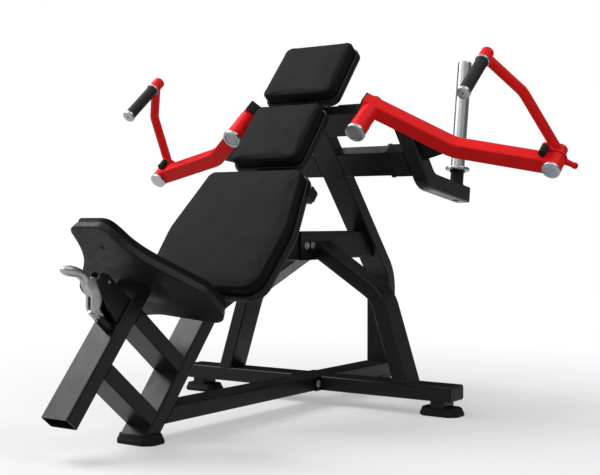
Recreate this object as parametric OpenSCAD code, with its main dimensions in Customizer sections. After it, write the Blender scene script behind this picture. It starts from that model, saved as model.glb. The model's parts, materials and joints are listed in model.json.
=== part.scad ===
// Plate-loaded incline chest machine: a bench on a bolted tube frame with two swinging arms.
// Lengths are millimetres. +X is the right side, -Y the seat end, +Z up.

/* [Frame tubes] */
// Wide side of the frame tubes
tube_w = 100; // [90:1:110]
// Narrow side of the frame tubes
tube_d = 50; // [44:1:56]
// Wall of the steel tubes
tube_wall = 3; // [2:0.5:4]
// Outer corner radius of the steel tubes
tube_r = 6; // [4:0.5:8]
// Incline of the bench from the floor, in degrees
bench_angle = 50; // [48:0.5:52]

/* [Base] */
// Distance from the origin to the centre of the rear post
rear_y = 830.6; // [800:0.1:860]
// Height of the undersides of the base beams
beam_z = 50; // [44:1:60]
// Length of the base beam behind the rear post's centre
base_back = 52; // [40:1:80]
// Distance of the cross beams in front of the rear post's centre
cross_y = 464; // [430:1:500]
// Overall length across both cross beams
cross_len = 1120; // [1040:1:1200]
// Distance of the side feet from the centre plane
foot_x = 504; // [470:1:515]
// Length of a rubber foot
foot_l = 144; // [130:1:160]
// Width of a rubber foot
foot_w = 96; // [88:1:104]
// Height of a rubber foot
foot_h = 28; // [22:1:34]
// Slope of a rubber foot's sides, measured along the floor
foot_bevel = 8; // [6:1:12]
// Cut of a rubber foot's corners
foot_corner = 24; // [16:1:30]
// Ledge of a rubber foot in front of and behind its post
foot_ledge = 2; // [1:0.5:6]
// Length of a foot's post along the foot
foot_post_l = 52; // [46:1:70]

/* [Bench frame] */
// Distance of the spine's back face from the rear post's floor point, square to the bench
spine_n = 1046; // [1020:1:1070]
// Distance of the spine's top end below the head pad's top edge
spine_short = 8; // [7:1:14]
// Distance of the seat tube's back face from the same floor point
seat_n = 1338; // [1310:1:1365]
// Height of the seat tube's upper end along the bench
seat_tube_top = -613; // [-620:1:-606]
// Length of the seat tube
seat_tube_len = 398; // [340:1:440]
// Distance between the two seat struts along the bench
strut_pitch = 187; // [170:1:195]
// Height of the mid beam's underside
mid_z = 505; // [490:1:520]
// Height of the corner where the rear post starts to lean
post_bend_z = 436; // [424:1:448]
// Bend radius of the rear post
post_bend_r = 150; // [110:1:180]
// Length of the gusset under the mid beam
gusset_l = 292; // [240:1:320]
// Depth of the gusset down the spine
gusset_h = 194; // [150:1:230]
// Thickness of the gusset
gusset_t = 10; // [8:1:20]

/* [Legs] */
// Distance of a leg's foot from the centre plane
leg_foot_x = 370; // [350:1:390]
// Distance of a leg's bend from the centre plane
leg_knee_x = 278; // [265:1:290]
// Height of a leg's bend
leg_knee_z = 386; // [370:1:400]
// Height where a leg meets the mid beam
leg_top_z = 546; // [540:1:552]
// Bend radius of a leg
leg_bend_r = 110; // [80:1:140]
// Thickness of the bolted flange plates
flange_t = 8; // [6:1:12]
// Distance that a leg's flange reaches forward of the leg
flange_reach = 86; // [70:1:100]
// Diameter of the frame bolts
bolt_d = 12; // [8:1:14]

/* [Back pads] */
// Thickness of the pad boards
board_t = 10; // [8:1:14]
// Distance that a board stays inside its cushion's outline
board_inset = 1; // [0.5:0.5:3]
// Depth of a pad tray's rim behind its board
tray_lip = 16; // [10:1:22]
// Wall of a pad tray's rim
tray_wall = 5; // [3:0.5:7]
// Gap between a pad tray's rim and the tubes that pass it
tray_gap = 1; // [0.5:0.5:3]
// Thickness of a cushion at its edge
cushion_t = 44; // [36:1:50]
// Extra height of a cushion at its centre
crown = 4; // [2:0.5:8]
// Rounding of a cushion's upper edge
edge_r = 12; // [8:1:16]
// Distance that a cushion's sides are drawn in at the board
draw_in = 5; // [2:0.5:8]
// Place of the lower pad's bottom edge along the bench
lower_pad_s = -391; // [-400:1:-380]
// Length of the lower pad
lower_pad_len = 489; // [470:1:500]
// Width of the lower pad at its bottom
lower_pad_foot_w = 452; // [430:1:470]
// Greatest width of the lower pad
lower_pad_w = 480; // [450:1:500]
// Height of the lower pad's greatest width above its bottom edge
lower_pad_rise = 240; // [200:1:270]
// Width of the lower pad at its top
lower_pad_top_w = 382; // [350:1:410]
// Gap between neighbouring back pads
pad_gap = 40; // [30:1:50]
// Length of the upper pad
upper_pad_len = 263; // [245:1:275]
// Width of the upper pad at its bottom
upper_pad_w = 284; // [270:1:300]
// Width of the upper pad at its top
upper_pad_top_w = 276; // [260:1:290]
// Length of the head pad
head_pad_len = 257; // [240:1:270]
// Width of the head pad at its bottom
head_pad_w = 296; // [280:1:310]
// Width of the head pad at its top
head_pad_top_w = 290; // [275:1:305]
// Width of the square bars that carry the pads
bracket_bar_w = 40; // [34:1:44]
// Distance of the lower pad's upper bar below the pad's top edge
bar_drop = 53; // [45:1:65]
// Distance that this bar stands out beyond the pad
bar_stub = 12; // [6:1:18]
// Distance of the lower pad's lower bar above the pad's bottom edge
bar_rise = 96; // [80:1:120]
// Distance that the other bars stay inside their pads
bar_inset = 36; // [20:1:50]

/* [Seat] */
// Height of the seat board above the seat tube's end
seat_rise = 63; // [50:1:75]
// Length of the seat pad from front to rear
seat_len = 428; // [400:1:450]
// Place of the seat's front edge, square to the bench
seat_front_n = 1623; // [1600:1:1640]
// Half width of the seat's nose
seat_nose = 62; // [54:1:70]
// Half width of the seat at its rear lobes
seat_half_w = 243; // [225:1:260]
// Thickness of the seat cushion at its edge
seat_cushion_t = 40; // [34:1:46]
// Side play of the seat post in its plastic guides
guide_play = 0.4; // [0.3:0.05:0.6]
// Thickness of the plastic guides in the seat tube
guide_t = 2; // [1.5:0.25:3]
// Travel of the seat
seat_travel = 150; // [120:5:160]
// Spacing of the locking holes in the seat post
lock_pitch = 30; // [25:1:40]

/* [Seat lever] */
// Distance of the lever's middle plane from the centre plane
lever_x = 20; // [10:1:26]
// Place of the lever's pivot along the bench
lever_s = -630; // [-636:1:-624]
// Place of the lever's pivot square to the bench
lever_n = 1487; // [1478:1:1496]
// Place of the lock plunger along the bench
plunger_s = -718; // [-724:1:-712]
// Distance of the lever's clevis pin in front of the seat tube
clevis_rise = 82; // [78:1:90]
// Diameter of the lock plunger
plunger_d = 16; // [12:1:18]
// Outside diameter of the plunger housing
housing_d = 30; // [26:1:34]
// Length of the plunger housing
housing_len = 52; // [46:1:56]
// Thickness of the lever
lever_t = 26; // [24:1:30]

/* [Arms] */
// Distance of an arm's pivot from the centre plane
pivot_x = 257; // [250:1:264]
// Height of an arm's pivot above the shoulder beams' middle
pivot_rise = 52; // [44:1:58]
// Width of the arm tubes
arm_w = 58; // [54:1:62]
// Slope of an arm's inner stretch, in degrees
arm_slope1 = 36.4; // [34:0.2:39]
// Slope of an arm's outer stretch, in degrees
arm_slope2 = 14; // [11:0.5:17]
// Length from the pivot to the arm's bend
arm_l1 = 307; // [290:1:325]
// Length from the arm's bend to the elbow
arm_l2 = 342; // [320:1:360]
// Bend radius of an arm
arm_bend_r = 120; // [90:1:180]
// Length of an arm inside its pivot
arm_back = 34; // [32:1:40]
// Distance that the pivot and elbow housings stand out beyond the arm's sides
hub_lip = 2; // [1:0.5:4]
// Length of a pivot housing in front of its arm
hub_len = 116; // [100:1:125]
// Diameter of the chrome pivot caps
cap_d = 70; // [64:1:76]
// Thickness of the chrome caps
cap_t = 12; // [10:1:14]
// Diameter of the pivot shafts
shaft_d = 30; // [26:1:34]
// Outside diameter of the pivot bearings
bearing_d = 46; // [42:1:50]
// Length of a bearing
bearing_len = 20; // [16:1:24]
// Diameter of the elbow shafts
elbow_d = 20; // [16:1:22]
// Outside diameter of the elbow bushes
bush_d = 30; // [26:1:34]
// Radial running clearance of shafts
run_gap = 0.05; // [0.03:0.01:0.08]
// Gap between pieces that slide past each other
side_gap = 2; // [1.5:0.25:3]
// Gap at a rubber stop
stop_gap = 0.5; // [0.4:0.1:0.8]

/* [Weights] */
// Width of the weight bracket tube
bracket_w = 58; // [52:1:64]
// Distance of the weight bracket's inner face from the centre plane
bracket_x = 320; // [314:1:326]
// Distance of the weight bracket's bend below the stop beams' middle
bracket_drop = 96; // [86:1:106]
// Turn of the weight bracket's bend, in degrees
bracket_turn = 41.5; // [38:0.5:45]
// Bend radius of the weight bracket
bracket_bend_r = 80; // [60:1:95]
// Length from the weight bracket's bend to its end
bracket_len = 286; // [270:1:310]
// Distance of the weight horn from the bracket's end
horn_inset = 52; // [46:1:60]
// Diameter of the weight horns
horn_d = 50; // [46:1:54]
// Length of a weight horn above its collar
horn_len = 397; // [370:1:420]
// Diameter of the weight horn's collar
collar_d = 87; // [78:1:96]
// Thickness of the weight horn's collar
collar_t = 12; // [8:1:16]
// Diameter of the black sleeve under a collar
sleeve_d = 48; // [44:1:52]
// Height of the black sleeve
sleeve_h = 52; // [44:1:60]
// Height of the web under an arm, at its weight bracket
web_h = 142; // [130:1:150]
// Length of this web along the arm, measured across
web_w = 100; // [90:1:110]
// Width of a stop beam's end flange beyond the tube
stop_lip = 5; // [3:1:10]
// Distance of the stop beams' ends from the centre plane
stop_x = 243; // [230:1:250]
// Place of the stop beams along the leaning post
stop_p = 878; // [868:1:888]
// Distance that a stop beam's rubber bumper stands out round the tube
bumper_lip = 3; // [1:0.5:4.5]
// Gap between the stop beams and the shoulder beams
beam_gap = 78; // [70:1:86]
// Distance of the shoulder beams' ends from the centre plane
shoulder_x = 195; // [180:1:200]
// Thickness of the pivot plates
plate_t = 10; // [8:1:14]
// Distance that a pivot plate's round end stays inside the arm's edges
plate_edge = 9; // [7:1:10]

/* [Handles] */
// Diameter of the handle tubes
link_d = 34; // [30:1:38]
// Length of a handle tube's lower stretch
link_l1 = 252; // [240:1:270]
// Length of a handle tube's upper stretch
link_l2 = 167; // [155:1:180]
// Direction of the lower stretch, in degrees from the outward side
link_angle = 103.5; // [99:0.5:106]
// Turn of a handle tube's bend, in degrees
link_turn = 19; // [16:0.5:22]
// Bend radius of a handle tube
link_bend_r = 90; // [70:1:130]
// Diameter of a handle's cross tube
cross_tube_d = 42; // [40:1:46]
// Length of a grip
grip_len = 164; // [150:1:176]
// Diameter of a grip
grip_d = 41; // [36:1:44]
// Diameter of the bar inside a grip
bar_d = 26; // [22:1:29]
// Thickness of a handle's stop plate
stop_plate_t = 8; // [6:1:10]
// Reach of the stop plate's tail from the elbow
tail_reach = 62; // [56:1:72]
// Diameter of the rubber stop on a handle
stop_d = 25; // [20:1:28]
// Distance of the rubber stop inward of the elbow
stop_back = 37; // [32:1:42]

/* [Hidden] */
$fn = 64;

// Side selectors for mirrored pieces
RIGHT = 0;
LEFT = 1;
// Size of the blocks that cut tubes off at a plane
far = 4000;
// Extra wall thickness at a bend, and the length that straight stretches run into it
bend_swell = 0.15;
bend_lap = 2;
frame_black = "#262628";
paint_red = "#c81e1e";
chrome = "#c9ccd0";
rubber = "#1b1b1c";
vinyl = "#2e2e30";
plastic = "#1f1f21";

// Base
beam_top = beam_z + tube_d;
beam_mid = beam_z + tube_d / 2;
cap_wall = 6;
foot_post_w = foot_w - 2 * (foot_bevel + foot_ledge);
// Distance that cutting bores run past the ends of a piece
bore_run = 1;
// Front foot stands under the middle of the spine's cut end
spine_foot_y = (foot_h * cos(bench_angle) - spine_n - tube_d / 2) / sin(bench_angle);

// Places of the feet: one under the spine, the others on posts under the beams
front_foot = [0, spine_foot_y];
post_feet = [[0, 0], [foot_x, -cross_y], [-foot_x, -cross_y]];

// Bench frame
spine_front = spine_n + tube_d;
strut_top_s = seat_tube_top - tube_d / 2;
function spine_back_y(z) = (z * cos(bench_angle) - spine_n) / sin(bench_angle);
post_turn = 90 - bench_angle;

// Leaning plane shared by the post, the beams and the arms
t_mid = post_bend_z * cos(bench_angle);
t_front = t_mid - tube_d / 2;
t_back = t_mid + tube_d / 2;
// Arms run just in front of the pivot plates
arm_t1 = t_front - side_gap;
arm_t2 = t_back - side_gap;

// Legs
leg_tilt = atan2(leg_foot_x - leg_knee_x, leg_knee_z - beam_top);
leg_rise = atan2(leg_top_z - leg_knee_z, leg_knee_x - tube_d / 2);
leg_turn = 90 - leg_tilt - leg_rise;
leg_l1 = norm([leg_foot_x - leg_knee_x, leg_knee_z - beam_top]);
leg_l2 = norm([leg_knee_x, leg_top_z - leg_knee_z]);
leg_flange_x = tube_d / 2 + flange_t;
beam_flange_reach = 30;
beam_flange_l = tube_w + 2 * beam_flange_reach;
bolt_head_h = 7;
bolt_head_d = 1.7 * bolt_d;
bolt_gap = 2;

// Back pads, measured along the bench from the rear post's floor point
upper_pad_s = lower_pad_s + lower_pad_len + pad_gap;
head_pad_s = upper_pad_s + upper_pad_len + pad_gap;
spine_top = head_pad_s + head_pad_len - spine_short;
pad_n = spine_front + board_t;
pad_corner_r = 32;
lower_corner_r = 60;
lower_waist_r = 200;
lower_outline = pad_outline(lower_pad_foot_w, lower_pad_w, lower_pad_top_w, lower_pad_rise, lower_pad_len);
upper_outline = block_outline(upper_pad_w, upper_pad_top_w, upper_pad_len);
head_outline = block_outline(head_pad_w, head_pad_top_w, head_pad_len);
bar_from_bottom = lower_pad_len - bar_drop;
lower_bar_s = lower_pad_s + bar_rise;
upper_bar_s = lower_pad_s + bar_from_bottom;

// Seat
seat_s = seat_tube_top + seat_rise;
seat_mid_n = seat_n + tube_d / 2;
post_w = tube_w - 2 * (tube_wall + guide_t + guide_play);
post_d = tube_d - 2 * (tube_wall + guide_t + guide_play);
post_hold = 110;
post_len = seat_travel + post_hold;
post_wall = tube_wall;
guide_h = 30;
seat_rear_n = seat_front_n - seat_len;
seat_points = seat_outline();

// Seat lever
tube_front_n = seat_n + tube_d;
clevis_n = tube_front_n + clevis_rise;
lever_pin_d = 10;
clevis_pin_d = 8;
clevis_gap = 0.4;
clevis_slot_l = 16;
cheek_t = 6;
tang_t = 10;
tang_w = clevis_slot_l + 10;
cheek_gap = 0.5;
// Places of the lever's neck and tip from its pivot
lever_neck = [-22, 66];
lever_tip = [-72, 134];

// Arms in their own plane: x across, p up along the post
shoulder_p = stop_p + tube_w + beam_gap;
pivot_p = shoulder_p + pivot_rise;
arm_dir1 = [cos(arm_slope1), -sin(arm_slope1)];
arm_dir2 = [cos(arm_slope2), -sin(arm_slope2)];
pivot = [pivot_x, pivot_p];
elbow = pivot + arm_l1 * arm_dir1 + arm_l2 * arm_dir2;
arm_turn = arm_slope1 - arm_slope2;
hub_d = arm_w + 2 * hub_lip;
hub_t1 = arm_t1 - hub_len;
hub_set = 2;
hub_t2 = arm_t2 + side_gap / 2;
elbow_t1 = arm_t1 - 4;
plug_t = 5;
retainer_t = 4;
retainer_head = 6;
bearing_set = 7;
// Front end of the pivot shafts, just ahead of the first bearing
shaft_t1 = hub_t1 + bearing_set - 1;
shaft_tail = 1;
cap_wall_t = 3;
elbow_cap_t = 8;
ring_d = bush_d - 2;
ring_t = 3;

// Weights
bracket_p = stop_p - bracket_drop;
bracket_mid_x = bracket_x + bracket_w / 2;
bracket_mid_t = arm_t1 + bracket_w / 2;
horn_bolt_d = 16;
horn_bolt_hole = 28;
horn_head_h = 10;
horn_thread = 25;
horn_chamfer = 4;
web_t = 8;
web_rise = 30;
stop_flange_t = 12;

// Handles
plate_t1 = t_back + side_gap;
link_t = plate_t1 + stop_plate_t + link_d / 2 + 6;
link_hub_d = 46;
link_hub_t2 = link_t + link_d / 2 + 3;
link_dir1 = [cos(link_angle), sin(link_angle)];
link_dir2 = [cos(link_angle + link_turn), sin(link_angle + link_turn)];
grip_at = elbow + link_l1 * link_dir1 + link_l2 * link_dir2;
cross_tube_t1 = link_t - link_d / 2 - 4;
cross_tube_t2 = link_t + link_d / 2 + 8;
collar_len = 8;
end_cap_len = 12;
grip_t2 = cross_tube_t1 - collar_len;
grip_t1 = grip_t2 - grip_len;
grip_ribs = 18;
rib_depth = 1.2;
stop_rise = arm_w / 2 + stop_d / 2 + stop_gap;
stop_len = 38;
stop_stud_d = stop_d * 0.4;
tail_angle = 33;
tail_r = 11;
tail_half_w = 8;
tail_root_half_w = 14;
ear_half_w = 9;
ear_root_half_w = 22;
handle_stop_at = elbow - stop_back * arm_dir2 + stop_rise * [arm_dir2[1] * -1, arm_dir2[0]];

// Frames of reference

// Bench frame: Y runs up the bench, Z square out of it
module bench() {
  translate([0, rear_y, 0]) rotate([bench_angle, 0, 0]) children();
}

// Leaning frame: Y runs up the leaning post, Z forward along the pivots
module lean() {
  translate([0, rear_y, 0]) rotate([180 - bench_angle, 0, 0]) children();
}

// Plane shape in the leaning frame, solid between two depths behind the front
module slab(t1, t2) {
  lean() translate([0, 0, -t2]) linear_extrude(t2 - t1) children();
}

// Round bar along the pivots
module bar(at, d, t1, t2) {
  lean() translate([at[0], at[1], -t2]) cylinder(h = t2 - t1, d = d);
}

module on_side(side) {
  mirror([side, 0, 0]) children();
}

module both_sides() {
  for (side = [RIGHT, LEFT]) on_side(side) children();
}

// Everything above the bench-square distance n
module beyond_bench(n) {
  bench() translate([-far / 2, -far / 2, n]) cube(far);
}

// Everything behind the leaning depth t
module behind_lean(t) {
  lean() translate([-far / 2, -far / 2, -t - far]) cube(far);
}

module below(z) {
  translate([-far / 2, -far / 2, z - far]) cube(far);
}

// Sections and tubes

module round_rect(w, h, r) {
  square([w - 2 * r, h], center = true);
  square([w, h - 2 * r], center = true);
  for (x = [-1, 1], y = [-1, 1]) translate([x * (w / 2 - r), y * (h / 2 - r)]) circle(r);
}

// Hollow tube section, with its wall thickened both ways where a bend needs it
module tube_section(w, h, swell = 0) {
  inset = 2 * (tube_wall + swell);
  difference() {
    round_rect(w + 2 * swell, h + 2 * swell, tube_r + swell);
    round_rect(w - inset, h - inset, max(tube_r - tube_wall, 1));
  }
}

module tube_x(len, w, h) {
  rotate([90, 0, 90]) linear_extrude(len) tube_section(w, h);
}

module tube_y(len, w, h) {
  translate([0, len, 0]) rotate([90, 0, 0]) linear_extrude(len) tube_section(w, h);
}

module tube_z(len, w, h) {
  linear_extrude(len) tube_section(w, h);
}

// Path along +X that turns left by an angle: the first child is its section, the second the bend's
module bent_path(l1, r, turn, l2) {
  tangent = r * tan(turn / 2);
  rotate([90, 0, 90]) linear_extrude(l1 - tangent + bend_lap) children(0);
  translate([l1 - tangent, r, 0]) rotate([0, 0, -90]) rotate_extrude(angle = turn)
    translate([r, 0]) children(1);
  translate([l1, 0, 0]) rotate([0, 0, turn]) translate([tangent - bend_lap, 0, 0])
    rotate([90, 0, 90]) linear_extrude(l2 - tangent + bend_lap) children(0);
}

module bent_tube(l1, r, turn, l2, w, h) {
  bent_path(l1, r, turn, l2) {
    tube_section(w, h);
    tube_section(w, h, bend_swell);
  }
}

// Cushion outlines: each corner is a point and a radius, listed anticlockwise

function pad_outline(foot_w, w, top_w, rise, len) = [
  [[-foot_w / 2, 0], lower_corner_r], [[foot_w / 2, 0], lower_corner_r],
  [[w / 2, rise], lower_waist_r], [[top_w / 2, len], pad_corner_r],
  [[-top_w / 2, len], pad_corner_r], [[-w / 2, rise], lower_waist_r]
];

function block_outline(w, top_w, len) = [
  [[-w / 2, 0], pad_corner_r], [[w / 2, 0], pad_corner_r],
  [[top_w / 2, len], pad_corner_r], [[-top_w / 2, len], pad_corner_r]
];

function seat_outline() = [
  [[0, seat_rear_n + 30], -160], [[seat_half_w, seat_rear_n - 6], 55],
  [[seat_half_w, seat_rear_n + 140], 50], [[seat_nose + 26, seat_front_n - 123], -250],
  [[seat_nose, seat_front_n], 34], [[-seat_nose, seat_front_n], 34],
  [[-seat_nose - 26, seat_front_n - 123], -250], [[-seat_half_w, seat_rear_n + 140], 50],
  [[-seat_half_w, seat_rear_n - 6], 55]
];

function unit(v) = v / norm(v);
function left_of(v) = [-v[1], v[0]];
function heading(v) = atan2(v[1], v[0]);
function wrap(a) = a > 180 ? a - 360 : a < -180 ? a + 360 : a;

// Points of one rounded corner after the outline is drawn in by d; a negative radius is a hollow
function corner_points(before, at, after, r, d, steps) =
  let (
    u = unit(at - before),
    v = unit(after - at),
    turn = wrap(heading(v) - heading(u)),
    size = abs(r),
    side = turn > 0 ? 1 : -1,
    centre = at - u * size * tan(abs(turn) / 2) + left_of(u) * size * side,
    reach = size - side * d,
    first = heading(u) - 90 * side
  ) [for (k = [0 : steps]) centre + reach * [cos(first + turn * k / steps), sin(first + turn * k / steps)]];

function outline_ring(outline, d, steps) =
  let (n = len(outline))
  [for (i = [0 : n - 1]) each corner_points(
    outline[(i + n - 1) % n][0], outline[i][0], outline[(i + 1) % n][0], outline[i][1], d, steps)];

function ring_at(ring, z) = [for (p = ring) [p[0], p[1], z]];

function shrunk(ring, centre, f) = [for (p = ring) centre + (p - centre) * f];

function mean_of(ring) = [for (k = [0, 1]) let (s = [for (p = ring) p[k]]) (min(s) + max(s)) / 2];

// Triangles between stacked rings, with a fan on a last single point and a fan on the base
function loft_faces(n, rings) = concat(
  [for (j = [0 : rings - 2], i = [0 : n - 1]) each [
    [j * n + i, (j + 1) * n + (i + 1) % n, j * n + (i + 1) % n],
    [j * n + i, (j + 1) * n + i, (j + 1) * n + (i + 1) % n]]],
  [for (i = [0 : n - 1]) [(rings - 1) * n + i, rings * n, (rings - 1) * n + (i + 1) % n]],
  [for (i = [0 : n - 1]) [i, (i + 1) % n, rings * n + 1]]);

// Upholstered block: sides drawn in at the board, a round upper edge and a crowned face
module cushion(outline, thick, steps) {
  base = outline_ring(outline, 0, steps);
  centre = mean_of(base);
  edge = outline_ring(outline, edge_r, steps);
  low = thick - edge_r;
  rings = concat(
    [ring_at(outline_ring(outline, draw_in, steps), 0)],
    [ring_at(outline_ring(outline, draw_in * 0.25, steps), low * 0.4)],
    [for (a = [0 : 22.5 : 90])
      ring_at(outline_ring(outline, edge_r * (1 - cos(a)), steps), low + edge_r * sin(a))],
    [for (f = [0.86, 0.66, 0.4, 0.16])
      ring_at(shrunk(edge, centre, f), thick + crown * (1 - f * f))]);
  points = concat(
    [for (r = rings) each r],
    [[centre[0], centre[1], thick + crown], [centre[0], centre[1], 0]]);
  polyhedron(points, loft_faces(len(base), len(rings)), convexity = 6);
}

module board(outline, steps) {
  linear_extrude(board_t) polygon(outline_ring(outline, board_inset, steps));
}

// Board with a rim that runs back past the spine's face, open where the spine and the bars pass
module tray(outline, steps, bar_places) {
  slot_w = tube_w + 2 * tray_gap;
  bar_slot_w = bracket_bar_w + 2 * tray_gap;
  board(outline, steps);
  difference() {
    translate([0, 0, -tray_lip]) linear_extrude(tray_lip) difference() {
      polygon(outline_ring(outline, board_inset, steps));
      polygon(outline_ring(outline, board_inset + tray_wall, steps));
    }
    translate([-slot_w / 2, -far / 2, -tray_lip - bore_run]) cube([slot_w, far, tray_lip + bore_run]);
    for (s = bar_places)
      translate([-far / 2, s - bar_slot_w / 2, -tray_lip - bore_run])
        cube([far, bar_slot_w, tray_lip + bore_run]);
  }
}

// Base

module base_beam() {
  front = spine_back_y(beam_z);
  color(frame_black) difference() {
    translate([0, rear_y + front, beam_mid]) tube_y(base_back - cap_wall - front, tube_w, tube_d);
    beyond_bench(spine_n);
  }
}

module cross_beams() {
  start = tube_w / 2 + flange_t;
  color(frame_black) both_sides()
    translate([start, rear_y - cross_y, beam_mid])
      tube_x(cross_len / 2 - cap_wall - start, tube_w, tube_d);
}

module end_cap(w, h) {
  rotate([90, 0, 90]) linear_extrude(cap_wall) round_rect(w, h, tube_r);
}

module beam_end_caps() {
  color(plastic) {
    both_sides() translate([cross_len / 2 - cap_wall, rear_y - cross_y, beam_mid]) end_cap(tube_w, tube_d);
    translate([0, rear_y + base_back - cap_wall, beam_mid]) rotate([0, 0, 90]) end_cap(tube_w, tube_d);
    bench() translate([0, spine_top, spine_n + tube_d / 2]) rotate([0, 0, 90]) end_cap(tube_w, tube_d);
    both_sides() lean() translate([shoulder_x, shoulder_p, -t_mid]) end_cap(tube_w, tube_d);
  }
}

module at_feet(places) {
  for (at = places) translate([at[0], rear_y + at[1], 0]) children();
}

module foot_side(l) {
  polygon([[-l / 2, 0], [l / 2, 0], [l / 2 - foot_bevel, foot_h], [-l / 2 + foot_bevel, foot_h]]);
}

// Plan of a foot with its corners cut off
module foot_plan() {
  x = foot_l / 2;
  y = foot_w / 2;
  c = foot_corner;
  polygon([
    [-x + c, -y], [x - c, -y], [x, -y + c], [x, y - c],
    [x - c, y], [-x + c, y], [-x, y - c], [-x, -y + c]
  ]);
}

module foot_pads() {
  color(rubber) at_feet(concat([front_foot], post_feet)) intersection() {
    translate([0, foot_w / 2, 0]) rotate([90, 0, 0]) linear_extrude(foot_w) foot_side(foot_l);
    translate([-foot_l / 2, 0, 0]) rotate([90, 0, 90]) linear_extrude(foot_l) foot_side(foot_w);
    linear_extrude(foot_h) foot_plan();
  }
}

module foot_posts() {
  color(frame_black) at_feet(post_feet) translate([0, 0, foot_h]) linear_extrude(beam_z - foot_h)
    round_rect(foot_post_l, foot_post_w, tube_r);
}

// Bench frame

module main_spine() {
  start = spine_top - far / 2;
  color(frame_black) difference() {
    bench() translate([0, start, spine_n + tube_d / 2]) tube_y(far / 2, tube_w, tube_d);
    below(foot_h);
  }
}

module seat_guide_tube() {
  color(frame_black) bench() difference() {
    translate([0, seat_tube_top - seat_tube_len, seat_mid_n]) tube_y(seat_tube_len, tube_w, tube_d);
    translate([lever_x, plunger_s, seat_mid_n]) cylinder(h = tube_d, d = plunger_d + 2 * run_gap);
  }
}

module seat_struts() {
  color(frame_black) bench() for (s = [strut_top_s, strut_top_s - strut_pitch])
    translate([0, s, spine_front]) tube_z(seat_n - spine_front, tube_w, tube_d);
}

module guide_bushes() {
  inner_w = tube_w - 2 * tube_wall;
  inner_d = tube_d - 2 * tube_wall;
  color(plastic) bench() for (s = [seat_tube_top - guide_h, strut_top_s - strut_pitch])
    translate([0, s + guide_h, seat_mid_n]) rotate([90, 0, 0]) linear_extrude(guide_h) difference() {
      round_rect(inner_w, inner_d, max(tube_r - tube_wall, 1));
      square([inner_w - 2 * guide_t, inner_d - 2 * guide_t], center = true);
    }
}

module mid_beam() {
  front = spine_back_y(mid_z);
  color(frame_black) difference() {
    translate([0, rear_y + front, mid_z + tube_w / 2]) tube_y(-front, tube_d, tube_w);
    beyond_bench(spine_n);
    behind_lean(t_front);
  }
}

module rear_post() {
  color(frame_black) difference() {
    translate([0, rear_y, beam_top]) rotate([180, -90, 0])
      bent_tube(post_bend_z - beam_top, post_bend_r, post_turn, far / 2, tube_d, tube_w);
    beyond_bench(spine_n);
  }
}

module leg() {
  difference() {
    translate([leg_foot_x, rear_y - cross_y, beam_top]) rotate([90, -90, 0]) rotate([0, 0, leg_tilt])
      translate([-tube_d, 0, 0]) bent_tube(leg_l1 + tube_d, leg_bend_r, leg_turn, leg_l2, tube_d, tube_w);
    below(beam_top);
    translate([leg_flange_x - far, -far / 2, 0]) cube(far);
  }
}

module legs() {
  color(frame_black) both_sides() leg();
}

// Flat plates: leg flanges, cross beam flanges and the gusset between spine and mid beam
module frame_plates() {
  leg_front = rear_y - cross_y - tube_w / 2;
  color(frame_black) {
    both_sides() difference() {
      union() {
        translate([tube_d / 2, leg_front - flange_reach, mid_z])
          cube([flange_t, tube_w + flange_reach, tube_w]);
        translate([tube_w / 2, rear_y - cross_y - beam_flange_l / 2, beam_z])
          cube([flange_t, beam_flange_l, tube_d]);
      }
      at_frame_bolts() translate([0, 0, -2 * flange_t]) cylinder(h = 3 * flange_t, d = bolt_d);
    }
    translate([gusset_t / 2, rear_y, 0]) rotate([90, 0, -90]) linear_extrude(gusset_t) polygon([
      [-spine_back_y(mid_z), mid_z],
      [-spine_back_y(mid_z) - gusset_l, mid_z],
      [-spine_back_y(mid_z - gusset_h), mid_z - gusset_h]
    ]);
  }
}

// Outer faces of the flanges, where the bolt heads sit
module at_frame_bolts() {
  leg_front = rear_y - cross_y - tube_w / 2;
  for (reach = [bolt_head_d / 2 + bolt_gap, flange_reach * 0.6])
    translate([leg_flange_x, leg_front - reach, mid_z + tube_w / 2]) rotate([0, 90, 0]) children();
  for (y = [-1, 1])
    translate([tube_w / 2 + flange_t, rear_y - cross_y + y * (tube_w / 2 + beam_flange_l / 2) / 2, beam_mid])
      rotate([0, 90, 0]) children();
}

module frame_bolts() {
  color(chrome) both_sides() at_frame_bolts() {
    cylinder(h = bolt_head_h, d = bolt_head_d, $fn = 6);
    translate([0, 0, -flange_t]) cylinder(h = flange_t, d = bolt_d);
  }
}

// Beams on the leaning post

module side_beam(p, reach) {
  lean() translate([tube_w / 2, p, -t_mid]) tube_x(reach - tube_w / 2, tube_w, tube_d);
}

module shoulder_beams() {
  color(frame_black) both_sides() side_beam(shoulder_p, shoulder_x);
}

module pivot_plates() {
  r = arm_w / 2 - plate_edge;
  side = r * cos(45);
  low = shoulder_p - tube_w * 0.45;
  high = shoulder_p + tube_w * 0.45;
  color(frame_black) both_sides() slab(t_back, t_back + plate_t) difference() {
    union() {
      polygon([
        [tube_w, low], [shoulder_x, low], [pivot_x + side, pivot_p - side],
        [pivot_x - side, pivot_p + side], [shoulder_x, high], [tube_w, high]
      ]);
      translate(pivot) circle(r);
    }
    translate(pivot) circle(d = shaft_d);
  }
}

module pivot_shafts() {
  color(chrome) both_sides() bar(pivot, shaft_d, shaft_t1, t_back + plate_t + shaft_tail);
}

// Washer and bolt on the front end of each pivot shaft
module shaft_retainers() {
  washer_t1 = shaft_t1 - retainer_t;
  color(chrome) both_sides() {
    bar(pivot, bearing_d - 4, washer_t1, shaft_t1);
    bar(pivot, shaft_d * 0.6, washer_t1 - retainer_head, washer_t1);
  }
}

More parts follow.
